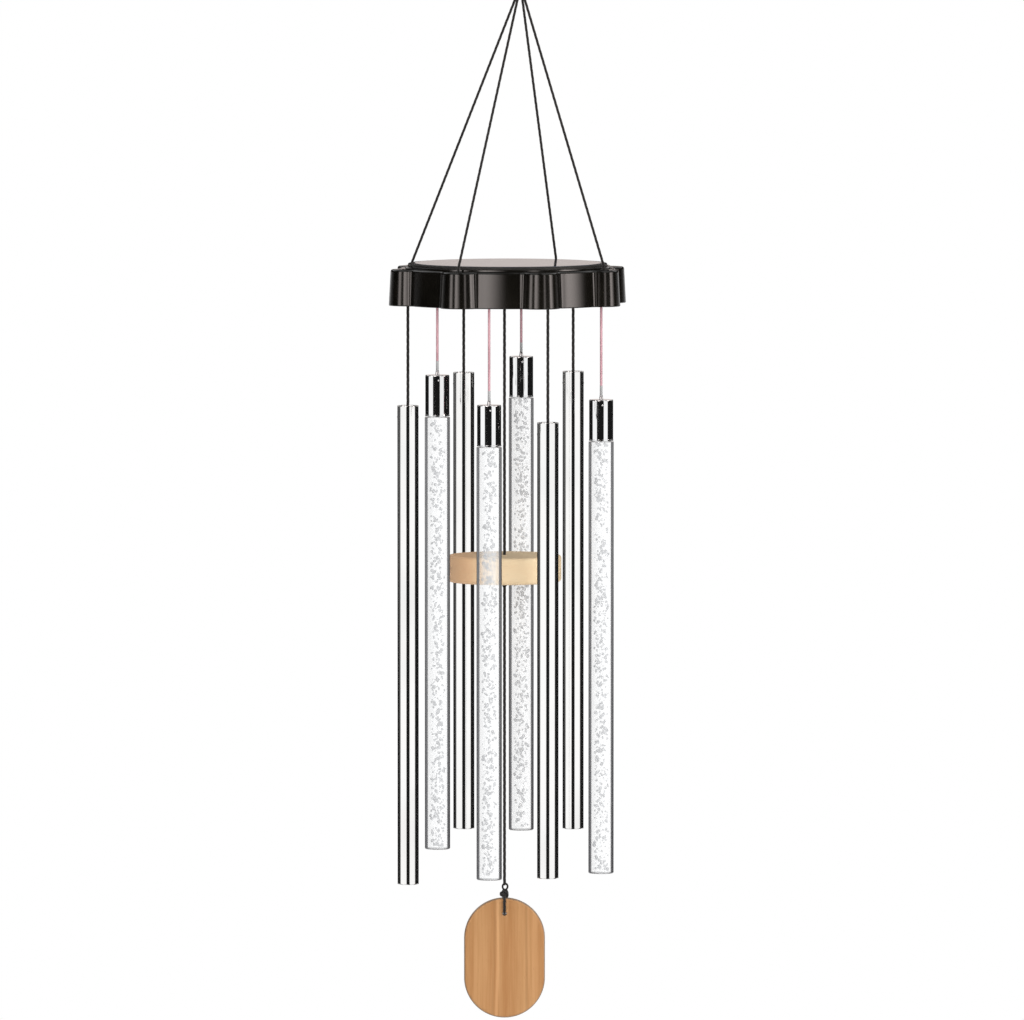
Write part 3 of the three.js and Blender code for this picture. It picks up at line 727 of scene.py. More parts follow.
def spaced(points, step):
    """The same line with points about step apart."""
    lengths = [(b - a).length for a, b in zip(points, points[1:])]
    total = sum(lengths)
    count = max(2, math.ceil(total / step))
    made = []
    segment = 0
    passed = 0.0
    for i in range(count + 1):
        at = total * i / count
        while segment < len(lengths) - 1 and passed + lengths[segment] < at:
            passed += lengths[segment]
            segment += 1
        share = min(1.0, (at - passed) / lengths[segment])
        made.append(points[segment].lerp(points[segment + 1], share))
    return made


def upright(point, start, end, step=CORD_STEP):
    """A straight route from one level to another."""
    return spaced([at_level(point, start), at_level(point, end)], step)


def linked(name, data):
    """An object in the scene."""
    made = bpy.data.objects.new(name, data)
    bpy.context.scene.collection.objects.link(made)
    return made


def piece(name, form, finish, body, node=None, crease=50, mirrored=True):
    """A form as an object that rides on a body and stands for a CAD node.

    Edges that turn by more than crease, in degrees, stay sharp. A piece that isn't mirrored keeps
    out of its neighbours' polish, which then shows the plain studio."""
    mesh = form.mesh(name)
    work = bmesh.new()
    work.from_mesh(mesh)
    bmesh.ops.recalc_face_normals(work, faces=work.faces)
    work.to_mesh(mesh)
    work.free()
    mesh.polygons.foreach_set("use_smooth", [True] * len(mesh.polygons))
    mesh.set_sharp_from_angle(angle=math.radians(crease))
    mesh.materials.append(finish)
    made = linked(name, mesh)
    made.visible_glossy = mirrored
    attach(made, body)
    if node:
        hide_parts(node)
    return made


def paint(finish, *nodes):
    """Gives CAD nodes a finish."""
    for node in nodes:
        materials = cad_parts[node].data.materials
        materials.clear()
        materials.append(finish)


def shared(name, make, *arguments, **settings):
    """A finish that several operators use, made once."""
    return bpy.data.materials.get(name) or make(*arguments, **settings)


def cord_finish(context):
    return shared("braided_cord", braided_cord, context.scene.chime_colours)


def steel_finish(context):
    colour = context.scene.chime_colours.steel
    return shared("bright_steel", metal, "bright_steel", colour, 0.2, streak=0.1, scale=1800)


def lay_of(sizes, diameter):
    """Radius of a three-strand cord at a distance along it and a turn round it."""

    def reach(distance, turn):
        wave = math.cos(3 * turn + TURN * distance / sizes.lay)
        return 0.5 * diameter * (1 - sizes.strand_depth * (0.5 - 0.5 * wave))

    return reach


def declare_cord(route):
    """Sums the length of a taut cord's route; the length is not used."""
    length = sum((b - a).length for a, b in zip(route, route[1:]))


def twisted_cord(context, node, corners, diameter, body):
    """A taut three-strand cord along a line of corners."""
    route = spaced(rounded(corners, CORD_BEND, steps=6), CORD_STEP)
    form = Form().sweep(route, lay_of(context.scene.chime_cords, diameter))
    made = piece(f"{node}_braid", form, cord_finish(context), body, node)
    declare_cord(route)


def overhand_knot(centre, width, diameter, tilt, twist):
    """A pulled-tight overhand knot: a cord along a trefoil."""
    scale = (width - diameter) / 6
    points = []
    steps = 96
    for i in range(steps + 1):
        t = TURN * i / steps
        ring = 2 + math.cos(3 * t)
        point = Vector((ring * math.cos(2 * t), ring * math.sin(2 * t), 1.5 * math.sin(3 * t)))
        points.append(point * scale)
    turn = Matrix.Rotation(tilt, 4, "X") @ Matrix.Rotation(twist, 4, "Z")
    return [centre + turn @ p for p in points]


def wrapped_cord(centre, low, high, radius, turns):
    """A cord wound round an upright line."""
    steps = 20 * turns
    points = []
    for i in range(steps + 1):
        turn = TURN * turns * i / steps
        out = Vector((radius * math.cos(turn), radius * math.sin(turn), 0))
        points.append(at_level(centre + out, low + (high - low) * i / steps))
    return points


def ring_points(centre, radius, first=BACK, second=UP, steps=48):
    """A closed circle in the plane of two directions."""
    turns = (TURN * i / steps for i in range(steps + 1))
    return [
        centre + first * (radius * math.cos(t)) + second * (radius * math.sin(t)) for t in turns
    ]


def aimed(made, place, aim):
    """Puts a camera or a lamp at a place, turned towards a point."""
    made.location = place
    made.rotation_euler = (Vector(aim) - Vector(place)).to_track_quat("-Z", "Y").to_euler()


class CHIME_OT_stage(bpy.types.Operator):
    """Camera, pale floor, world and soft lights"""

    bl_idname = "chime.stage"
    bl_label = "Stage"

    def execute(self, context):
        studio = context.scene.chime_studio
        context.scene.view_settings.view_transform = "Standard"
        self.camera(context, studio)
        self.world(context, studio)
        self.floor(studio)
        for name in LAMPS:
            self.soft_light(name, studio)
        return {"FINISHED"}

    def camera(self, context, studio):
        lens = bpy.data.cameras.new("camera")
        lens.lens = studio.lens
        lens.clip_start = 0.1
        lens.clip_end = 100
        camera = linked("camera", lens)
        aimed(camera, studio.camera_place, studio.camera_aim)
        context.scene.camera = camera

    def bearing(self, fin, way):
        """A direction's bearing in degrees, from the front towards the right."""
        turn = fin.math("ARCTAN2", fin.part(way, "X"), fin.part(way, "Y") * -1.0)
        return turn * math.degrees(1)

    def bands(self, fin, bearing, rows):
        """Soft upright bands round the studio, added up."""
        total = 0.0
        for rise, risen, fall, fallen, strength in rows:
            band = fin.smooth(bearing, rise, risen) * fin.smooth(bearing, fall, fallen, 1, 0)
            total = total + strength * band
        return total

    def cross_flags(self, fin, bearing):
        """Dark screens a quarter turn apart, which give polished metal its dark bands."""
        return fin.smooth(fin.math("PINGPONG", bearing, 45.0), 14, 22, 1, 0)

    def world(self, context, studio):
        """White to the camera and through clear parts, a banded studio to gloss, even light to the
        rest.

        Below the horizon the tubes and the caps each mirror a curve of their own, which their
        draft gives, and all else mirrors the cross flags. Above it come the canopy's strips,
        then white."""
        fin = Finish(bpy.data.worlds.new("studio"))
        context.scene.world = fin.owner
        way = fin.node("ShaderNodeTexCoord", output="Generated")
        bearing = self.bearing(fin, way)
        height = fin.part(way, "Z")
        above = fin.smooth(height, -0.02, 0.005)
        swing = fin.math("COSINE", bearing * math.radians(0.5))
        tubes = fin.window(height + 2 * TUBE_DRAFT * swing, -0.107, -0.037, soft=0.006)
        caps = fin.window(height + 2 * CAP_DRAFT * swing, -0.074, -0.029, soft=0.006)
        rest = (1 - tubes) * (1 - caps)
        flags = self.cross_flags(fin, bearing)
        dark = self.bands(fin, bearing, TUBE_SCREENS) * tubes
        dark = dark + self.bands(fin, bearing, CAP_SCREENS) * caps + flags * rest
        low = 0.01 + (1.05 - 0.2 * rest) * (1 - fin.math("MINIMUM", dark, 1.0))
        strips = 0.012 + self.bands(fin, bearing, CANOPY_STRIPS)
        upper = strips * fin.smooth(height, 0.20, 0.32, 1, 0)
        upper = upper + (1 - 0.9 * flags) * fin.smooth(height, 0.30, 0.44)
        behind = self.bands(fin, bearing, BACK_STRIPS)
        upper = upper + behind * fin.smooth(height, 0.06, 0.09, 1, 0)
        gloss = low * (1 - above) + upper * above
        camera, glossy, clear = fin.rays()
        seen = fin.smooth(camera + clear, 0.4, 0.6)
        level = studio.ambient * (1 - glossy) + gloss * glossy
        warm = above * fin.smooth(height, 0.24, 0.32, 1, 0) * glossy * (1 - seen)
        shade = {
            "Color": fin.mix(warm, (1, 1, 1), (1, 0.90, 0.86)),
            "Strength": level * (1 - seen) + seen,
        }
        fin.node(
            "ShaderNodeOutputWorld", {}, {"Surface": fin.node("ShaderNodeBackground", {}, shade)}
        )

    def floor(self, studio):
        """A pale disc that fades out, is clear from below and shows gloss the cross flags."""
        radius = studio.floor_radius
        level = -studio.floor_level
        profile = [(radius, level), (0.5 * radius, level), (0, level)]
        mesh = Form().lathe(profile, ORIGIN, sides=96).mesh("floor")
        fin = new_finish("pale_floor")
        camera, glossy, clear = fin.rays()
        seen = fin.smooth(camera + glossy + clear, 0.4, 0.6)
        flags = self.cross_flags(fin, self.bearing(fin, fin.place())) * glossy
        flat = fin.place((1, 1, 0))
        reach = fin.node("ShaderNodeVectorMath", {"operation": "LENGTH"}, {0: flat}, "Value")
        near = fin.smooth(reach, 0.55 * radius, 0.98 * radius, 1, 0)
        under = fin.node("ShaderNodeNewGeometry", output="Backfacing")

        def blend(factor, first, second):
            return fin.node("ShaderNodeMixShader", {}, {0: factor, 1: first, 2: second})

        matt = fin.node("ShaderNodeBsdfDiffuse", {}, {"Color": (0.9, 0.9, 0.9)})
        bright = fin.node("ShaderNodeEmission", {}, {"Color": (1, 1, 1)})
        screen = fin.node("ShaderNodeEmission", {}, {"Color": (0.01, 0.01, 0.01)})
        ground = blend(flags, blend(0.8 * seen, matt, bright), screen)
        faded = blend(near * (1 - under), fin.node("ShaderNodeBsdfTransparent"), ground)
        fin.node("ShaderNodeOutputMaterial", {}, {"Surface": faded})
        mesh.materials.append(fin.owner)
        linked("floor", mesh)

    def soft_light(self, name, studio):
        """A round lamp that gloss doesn't mirror."""
        place, size = LAMPS[name]
        light = bpy.data.lights.new(f"{name}_light", "AREA")
        light.shape = "DISK"
        light.size = size
        light.energy = getattr(studio, name)
        lamp = linked(light.name, light)
        aimed(lamp, place, studio.camera_aim)
        lamp.visible_glossy = False


class CHIME_OT_cords(bpy.types.Operator):
    """Suspension cords, tube strings, lamp wires and the middle cord"""

    bl_idname = "chime.cords"
    bl_label = "Cords"

    def execute(self, context):
        sizes = context.scene.chime_cords
        for number, lobe in enumerate(CORD_LOBES, 1):
            self.suspension_cord(context, sizes, number, lobe)
        for number in NUMBERS:
            self.tube_string(context, sizes, number)
            self.lamp_wire(context, sizes, number)
        self.middle_cord(context, sizes, "striker_cord", "striker")
        self.middle_cord(context, sizes, "catcher_cord", "catcher_line")
        return {"FINISHED"}

    def suspension_cord(self, context, sizes, number, lobe):
        """A cord from the ring's knot to its lobe, where it bends down into the canopy."""
        node = f"suspension_cord_{number}"
        gap = 0.3 * MM
        out = lobe_way(lobe)
        start = out * ((sizes.suspension + gap) * math.sqrt(0.5))
        hole = AXIS + out * sizes.cord_circle
        stop = bottom(node) + 1.5 * MM
        bend = stop + 5.1 * MM
        corners = [
            at_level(start, bottom("ring_knot") - gap), at_level(hole, bend), at_level(hole, stop),
        ]
        twisted_cord(context, node, corners, sizes.suspension, "canopy")

    def tube_string(self, context, sizes, number):
        """A string down into its tube, and the tied loop that carries the cross pin."""
        node = f"tube_string_{number}"
        body = f"tube_{number}"
        pin = middle(f"tube_pin_{number}")
        thick = 1.2 * MM
        loop_radius = WIRE_RADIUS + 0.5 * thick
        tie_foot = pin.z + loop_radius
        tie_top = tie_foot + 3 * MM
        corners = [at_level(pin, top(node)), at_level(pin, tie_foot)]
        twisted_cord(context, node, corners, sizes.string, body)
        reach = lay_of(sizes, thick)
        form = Form().sweep(ring_points(pin, loop_radius), reach)
        tie = wrapped_cord(pin, tie_foot, tie_top, 0.5 * sizes.string, turns=3)
        form.sweep(tie, reach, domed=True)
        piece(f"{node}_tie", form, cord_finish(context), body)

    def lamp_wire(self, context, sizes, number):
        node = f"rod_wire_{number}"
        finish = shared("wire_insulation", wire_insulation, context.scene.chime_colours)
        route = upright(middle(node), top(node), bottom(node), step=2 * MM)
        form = Form().sweep(route, 0.5 * sizes.wire, sides=16)
        made = piece(f"{node}_insulated", form, finish, f"rod_{number}", node)
        declare_cord(route)

    def middle_cord(self, context, sizes, node, body):
        corners = [at_level(middle(node), level) for level in (top(node), bottom(node))]
        twisted_cord(context, node, corners, sizes.middle, body)


class CHIME_OT_knots(bpy.types.Operator):
    """Knots on the ring, under the striker and on the catcher, and the catcher's loop"""

    bl_idname = "chime.knots"
    bl_label = "Knots"

    def execute(self, context):
        sizes = context.scene.chime_cords
        finish = cord_finish(context)
        self.ring_knot(sizes, finish)
        self.striker_knot(sizes, finish)
        self.catcher_knot(sizes, finish)
        self.catcher_loop(sizes, finish)
        return {"FINISHED"}

    def ring_knot(self, sizes, finish):
        """Cord wrapped round the gathered cords, and two loops round the ring."""
        centre = middle("ring_knot")
        low, high = bottom("ring_knot"), top("ring_knot")
        thick = sizes.suspension
        half = 0.5 * thick
        radius = 2.5 * MM - half
        reach = lay_of(sizes, thick)
        wraps = wrapped_cord(centre, low + half, high - half, radius, turns=5)
        form = Form().sweep(wraps, reach, domed=True)
        core = upright(centre, low - 0.2 * MM, high, step=0.5 * MM)
        form.sweep(core, radius, sides=16, domed=True)
        ring_foot = bottom("hang_ring") + WIRE_RADIUS - 0.1 * MM
        for offset in (-0.62, 0.62):
            place = Vector((offset * thick, 0, ring_foot))
            form.sweep(ring_points(place, WIRE_RADIUS + half), reach)
        piece("ring_knot_wraps", form, finish, "canopy", "ring_knot")

    def striker_knot(self, sizes, finish):
        """A small overhand knot on the run of cord under the striker."""
        low, high = bottom("striker_knot"), top("striker_knot")
        thick = 1 * MM
        past = 0.4 * MM
        knot = at_level(PLUMB, high - 1.3 * MM)
        route = overhand_knot(knot, 3 * MM, thick, tilt=math.radians(82), twist=0.4)
        form = Form().sweep(route, lay_of(sizes, thick))
        form.sweep(upright(PLUMB, high + past, low - past), lay_of(sizes, sizes.middle))
        piece("striker_knot_tied", form, finish, "striker", "striker_knot")

    def catcher_knot(self, sizes, finish):
        """The cord's end, a small eye under it and an overhand knot on the board's upper edge."""
        knot = at_level(PLUMB, top("wind_catcher") + 1.9 * MM)
        reach = lay_of(sizes, sizes.middle)
        route = overhand_knot(knot, 5.2 * MM, sizes.middle, tilt=math.radians(68), twist=1.1)
        form = Form().sweep(route, reach)
        eye_radius = 1.35 * MM
        eye = knot + Vector((0.3 * MM, 0, 3.7 * MM))
        across = Vector((1, 0.35, 0)).normalized()
        form.sweep(ring_points(eye, eye_radius, across, 1.15 * UP), 0.5 * MM, sides=10)
        run = upright(PLUMB, bottom("catcher_cord") + 0.4 * MM, eye.z + eye_radius)
        form.sweep(run, reach, domed=True)
        piece("catcher_knot_tied", form, finish, "catcher", "catcher_knot")

    def catcher_loop(self, sizes, finish):
        """Cord down the front of the catcher, through its hole and up its back."""
        high = top("wind_catcher")
        half = half_span("wind_catcher", "y")
        thick = 1.5 * MM
        off = half + 0.5 * thick + 0.15 * MM
        hole = high - CATCHER_HOLE
        edge = 1.2 * MM
        front = [
            Vector((PLUMB.x, -0.5 * thick, high + 1.4 * MM)),
            Vector((PLUMB.x, -off + 0.2 * MM, high - edge)),
            Vector((PLUMB.x, -off, hole + 0.6 * MM)),
            Vector((PLUMB.x, -0.35 * half, hole - 0.2 * MM)),
        ]
        back = [Vector((p.x, -p.y, p.z)) for p in reversed(front)]
        route = spaced(rounded(front + back, 0.9 * MM, steps=6), step=0.3 * MM)
        form = Form().sweep(route, lay_of(sizes, thick), domed=True)
        piece("catcher_loop_cord", form, finish, "catcher", "catcher_loop")


class CHIME_OT_hanger(bpy.types.Operator):
    """S hook and hanging ring"""

    bl_idname = "chime.hanger"
    bl_label = "Hanger"

    def execute(self, context):
        steel = steel_finish(context)
        self.hook(steel)
        self.ring(steel)
        return {"FINISHED"}

    def hook(self, finish):
        """Two bends, one hooked over the support and a smaller one through the ring."""
        wire, upper, lower = mm(1.1, 9.1, 7.1)
        upper_centre = -8 * MM
        lower_centre = upper_centre - upper - lower
        bends = (
            (upper_centre, upper, range(145, -90, -4)),
            (lower_centre, lower, range(90, 341, 5)),
        )
        route = []
        for level, radius, turns in bends:
            for angle in map(math.radians, turns):
                out = Vector((0, math.cos(angle), math.sin(angle)))
                route.append(at_level(ORIGIN, level) + out * radius)
        form = Form().sweep(spaced(route, step=0.6 * MM), wire, sides=28, domed=True)
        piece("s_hook_wire", form, finish, "hook", "s_hook")

    def ring(self, finish):
        centre = middle("hang_ring")
        wire = half_span("hang_ring", "y")
        radius = half_span("hang_ring") - wire
        rows = []
        sides = 120
        for i in range(sides):
            turn = TURN * i / sides
            out = Vector((math.cos(turn), 0, math.sin(turn)))
            rows.append(ring_points(centre + out * radius, wire, out, BACK, steps=24)[:-1])
        form = Form().loft(rows, True)
        piece("hang_ring_wire", form, finish, "canopy", "hang_ring")


def scallop(sizes, inset):
    """The canopy's outline, moved inwards by inset: lobes, fillets and the wall between them."""
    circle = sizes.recess_radius + sizes.lobe_reach - sizes.lobe_radius
    reach = sizes.recess_radius + sizes.lobe_fillet
    span = sizes.lobe_radius + sizes.lobe_fillet
    spread = math.acos((circle**2 + reach**2 - span**2) / (2 * circle * reach))
    lean = math.atan2(reach * math.sin(spread), reach * math.cos(spread) - circle)
    fillet = sizes.lobe_fillet + inset
    half_turn = math.pi
    # Each arc's centre, as a distance and a bearing, its radius, first and last bearing and steps.
    arcs = (
        (reach, -spread, fillet, half_turn - spread, half_turn - lean, 10),
        (circle, 0, sizes.lobe_radius - inset, -lean, lean, 30),
        (reach, spread, fillet, half_turn + lean, half_turn + spread, 10),
        (0, 0, sizes.recess_radius - inset, spread, LOBE_PITCH - spread, 16),
    )
    points = []
    for lobe in range(LOBES):
        turn = Matrix.Rotation(LOBE_PHASE + lobe * LOBE_PITCH, 2)
        for centre, bearing, radius, start, end, steps in arcs:
            for i in range(steps):
                at = start + (end - start) * i / steps
                x = centre * math.cos(bearing) + radius * math.cos(at)
                y = centre * math.sin(bearing) + radius * math.sin(at)
                points.append(turn @ Vector((x, y)))
    return points


class CHIME_OT_canopy(bpy.types.Operator):
    """Scalloped canopy shell, the bezel round the panel and the cords' eyelets"""

    bl_idname = "chime.canopy"
    bl_label = "Canopy"

    def execute(self, context):
        sizes = context.scene.chime_canopy
        colours = context.scene.chime_colours
        finish = canopy_plastic(colours)
        form = Form().loft(self.outer_rows(sizes) + self.inner_rows(sizes), True)
        piece("canopy_moulding", form, finish, "canopy", "canopy_shell", crease=60)
        self.bezel(satin_plastic("bezel_plastic", colours.inner))
        self.eyelets(context, finish)
        return {"FINISHED"}

    def bezel(self, finish):
        """A ring with a softer upper edge, drawn in a little towards its top."""
        low, high = bottom("panel_bezel"), top("panel_bezel")
        outer = half_span("panel_bezel")
        inner = half_span("solar_panel") + 0.3 * MM
        ring = [(inner, low), (outer, low), (outer - 0.05 * MM, high), (inner, high)]
        radii = mm(0.1, 0.12, 0.45, 0.12)
        form = Form().turned(ring, radii, AXIS, sides=192, steps=6, support=0.08 * MM, hollow=True)
        piece("panel_bezel_ring", form, finish, "canopy", "panel_bezel")

    def eyelets(self, context, finish):
        """A raised rim round each suspension cord's hole."""
        sizes = context.scene.chime_cords
        deck = top("canopy_shell") - context.scene.chime_canopy.shoulder_rise
        inner = 0.5 * sizes.suspension + 0.25 * MM
        outer = inner + 0.9 * MM
        ring = ring_corners(inner, outer, deck - 0.6 * MM, deck + 0.55 * MM)
        radii = mm(0.1, 0.1, 0.38, 0.25)
        for number, lobe in enumerate(CORD_LOBES, 1):
            hole = AXIS + lobe_way(lobe) * sizes.cord_circle
            form = Form().turned(ring, radii, hole, sides=40, support=0.03 * MM, hollow=True)
            piece(f"cord_eyelet_{number}", form, finish, "canopy")

    def row(self, points, level):
        return [(AXIS.x + p.x, AXIS.y + p.y, level) for p in points]

    def outer_rows(self, sizes):
        """Rows from the foot up the wall, over the edge and the shoulder to the plateau."""
        low, high = bottom("canopy_shell"), top("canopy_shell")
        deck = high - sizes.shoulder_rise
        height = deck - low
        corners = [
            (sizes.wall, -height), (0, -height),
            (sizes.flare * (1 - sizes.edge / height), -sizes.edge * 0.02),
            (sizes.flare + 1.6 * sizes.edge, 0),
        ]
        radii = [0, sizes.foot_edge, 0.95 * sizes.edge, 0]
        profile = rounded(corners, radii, steps=7, support=0.25 * MM)[1:-1]
        rows = [self.row(scallop(sizes, inset), deck + level) for inset, level in profile]
        inset, level = profile[-1]
        rim = scallop(sizes, inset)
        rim_level = deck + level
        foot_radius = sizes.plateau_radius + 1.1 * MM
        foot_level = rim_level + 0.4 * sizes.shoulder_rise
        bearings = [p.normalized() for p in scallop(sizes, 0)]
        for share in (0.3, 0.65, 0.92):
            points = [a.lerp(b * foot_radius, share) for a, b in zip(rim, bearings)]
            rows.append(self.row(points, rim_level + (foot_level - rim_level) * share))
        crest = high + sizes.lip
        groove = sizes.plateau_radius - 0.15 * MM
        corners = [
            (foot_radius, foot_level), (foot_radius - 0.06 * MM, crest), (groove, crest),
            (groove, high), (sizes.plateau_radius - 1.2 * MM, high),
        ]
        step = rounded(corners, mm(0, 0.22, 0.14, 0.06, 0), support=0.06 * MM)
        return rows + [self.row([b * radius for b in bearings], level) for radius, level in step]

    def inner_rows(self, sizes):
        """Rows from the lead hole back along the underside and down inside the wall."""
        low, high = bottom("canopy_shell"), top("canopy_shell")
        deck = high - sizes.shoulder_rise
        under = high - sizes.deck
        bearings = [p.normalized() for p in scallop(sizes, 0)]
        circles = ((sizes.lead_hole, high), (sizes.lead_hole, under), (sizes.plateau_radius, under))
        rows = [self.row([b * radius for b in bearings], level) for radius, level in circles]
        inset = sizes.flare + sizes.wall
        rows.append(self.row(scallop(sizes, inset), deck - sizes.deck))
        rows.append(self.row(scallop(sizes, sizes.wall), low))
        return rows


class CHIME_OT_solar_panel(bpy.types.Operator):
    """Solar cell under its resin"""

    bl_idname = "chime.solar_panel"
    bl_label = "Solar panel"

    def execute(self, context):
        low, high = bottom("solar_panel"), top("solar_panel")
        corners = ring_corners(0, half_span("solar_panel"), low, high)
        form = Form().turned(corners, 0.2 * MM, AXIS, sides=160, steps=4, support=0.2 * MM)
        finish = solar_cell(context.scene.chime_colours)
        piece("solar_panel_cell", form, finish, "canopy", "solar_panel")
        return {"FINISHED"}


class CHIME_OT_underside(bpy.types.Operator):
    """Base plate, screws, switch and the parts sealed in the canopy"""

    bl_idname = "chime.underside"
    bl_label = "Underside"

    def execute(self, context):
        colours = context.scene.chime_colours
        inner = satin_plastic("satin_black", colours.inner)
        paint(inner, "base_plate", "battery_holder", "switch_body", "switch_knob")
        paint(solder_mask(colours), "circuit_board")
        paint(satin_plastic("battery_sleeve", colours.battery), "battery_cell")
        for number in NUMBERS:
            self.screw(context, number)
        return {"FINISHED"}

    def screw(self, context, number):
        """A pan-head screw with a cross recess."""
        node = f"base_screw_{number}"
        low, high = bottom(node), top(node)
        centre = middle(node)
        head = half_span(node)
        shank = 1.1 * MM
        seat = low + 1.6 * MM
        corners = [(0, low), (head, low), (head, seat), (shank, seat), (shank, high), (0, high)]
        radii = mm(0, 0.9, 0.1, 0.1, 0.3, 0)
        form = Form().turned(corners, radii, centre, sides=40, support=0.05 * MM)
        made = piece(f"{node}_cross", form, steel_finish(context), "canopy", node)
        self.cut_cross(context, made, at_level(centre, low))

    def cut_cross(self, context, screw, place):
        """Cuts two crossing slots into the head."""
        long, narrow, deep = mm(1.5, 0.35, 0.8)
        sides = ((-1, -1), (1, -1), (1, 1), (-1, 1))
        for along, across in ((long, narrow), (narrow, long)):
            corners = [Vector((sx * along, sy * across, 0)) for sx, sy in sides]
            low = [place + c - deep * UP for c in corners]
            high = [place + c * 0.6 + deep * UP for c in corners]
            form = Form().loft([low, high])
            form.faces += [[3, 2, 1, 0], [4, 5, 6, 7]]
            cutter = linked("slot", form.mesh("slot"))
            cut = screw.modifiers.new("slot", "BOOLEAN")
            cut.object = cutter
            cut.operation = "DIFFERENCE"
            context.view_layer.update()
            evaluated = screw.evaluated_get(context.evaluated_depsgraph_get())
            carved = bpy.data.meshes.new_from_object(evaluated)
            screw.modifiers.clear()
            screw.data = carved
            bpy.data.objects.remove(cutter)


class CHIME_OT_tubes(bpy.types.Operator):
    """Polished chime tubes and their cross pins"""

    bl_idname = "chime.tubes"
    bl_label = "Chime tubes"

    def execute(self, context):
        wall = context.scene.chime_rods.tube_wall
        colour = context.scene.chime_colours.tube
        drawn = (2600, 2600, 12)
        finish = metal("polished_tube", colour, 0.05, streak=0.03, scale=drawn, draft=TUBE_DRAFT)
        for number in NUMBERS:
            self.tube(number, wall, finish)
            self.pin(context, number)
        return {"FINISHED"}

    def tube(self, number, wall, finish):
        node = f"chime_tube_{number}"
        outer = half_span(node)
        ring = ring_corners(outer - wall, outer, bottom(node), top(node))
        edge = 0.22 * MM
        form = Form().turned(ring, edge, middle(node), sides=96, support=0.2 * MM, hollow=True)
        name = f"{node}_polished"
        piece(name, form, finish, f"tube_{number}", node, mirrored=False)

    def pin(self, context, number):
        """A round-ended pin that lies across the tube."""
        node = f"tube_pin_{number}"
        half = half_span(node) + 0.12 * MM
        corners = ring_corners(0, half_span(node, "z"), -half, half)
        form = Form().turned(corners, 0.5 * MM, ORIGIN, sides=32, support=0.1 * MM)
        form.moved(Matrix.Translation(middle(node)) @ Matrix.Rotation(math.pi / 2, 4, "Y"))
        piece(f"{node}_turned", form, steel_finish(context), f"tube_{number}", node)


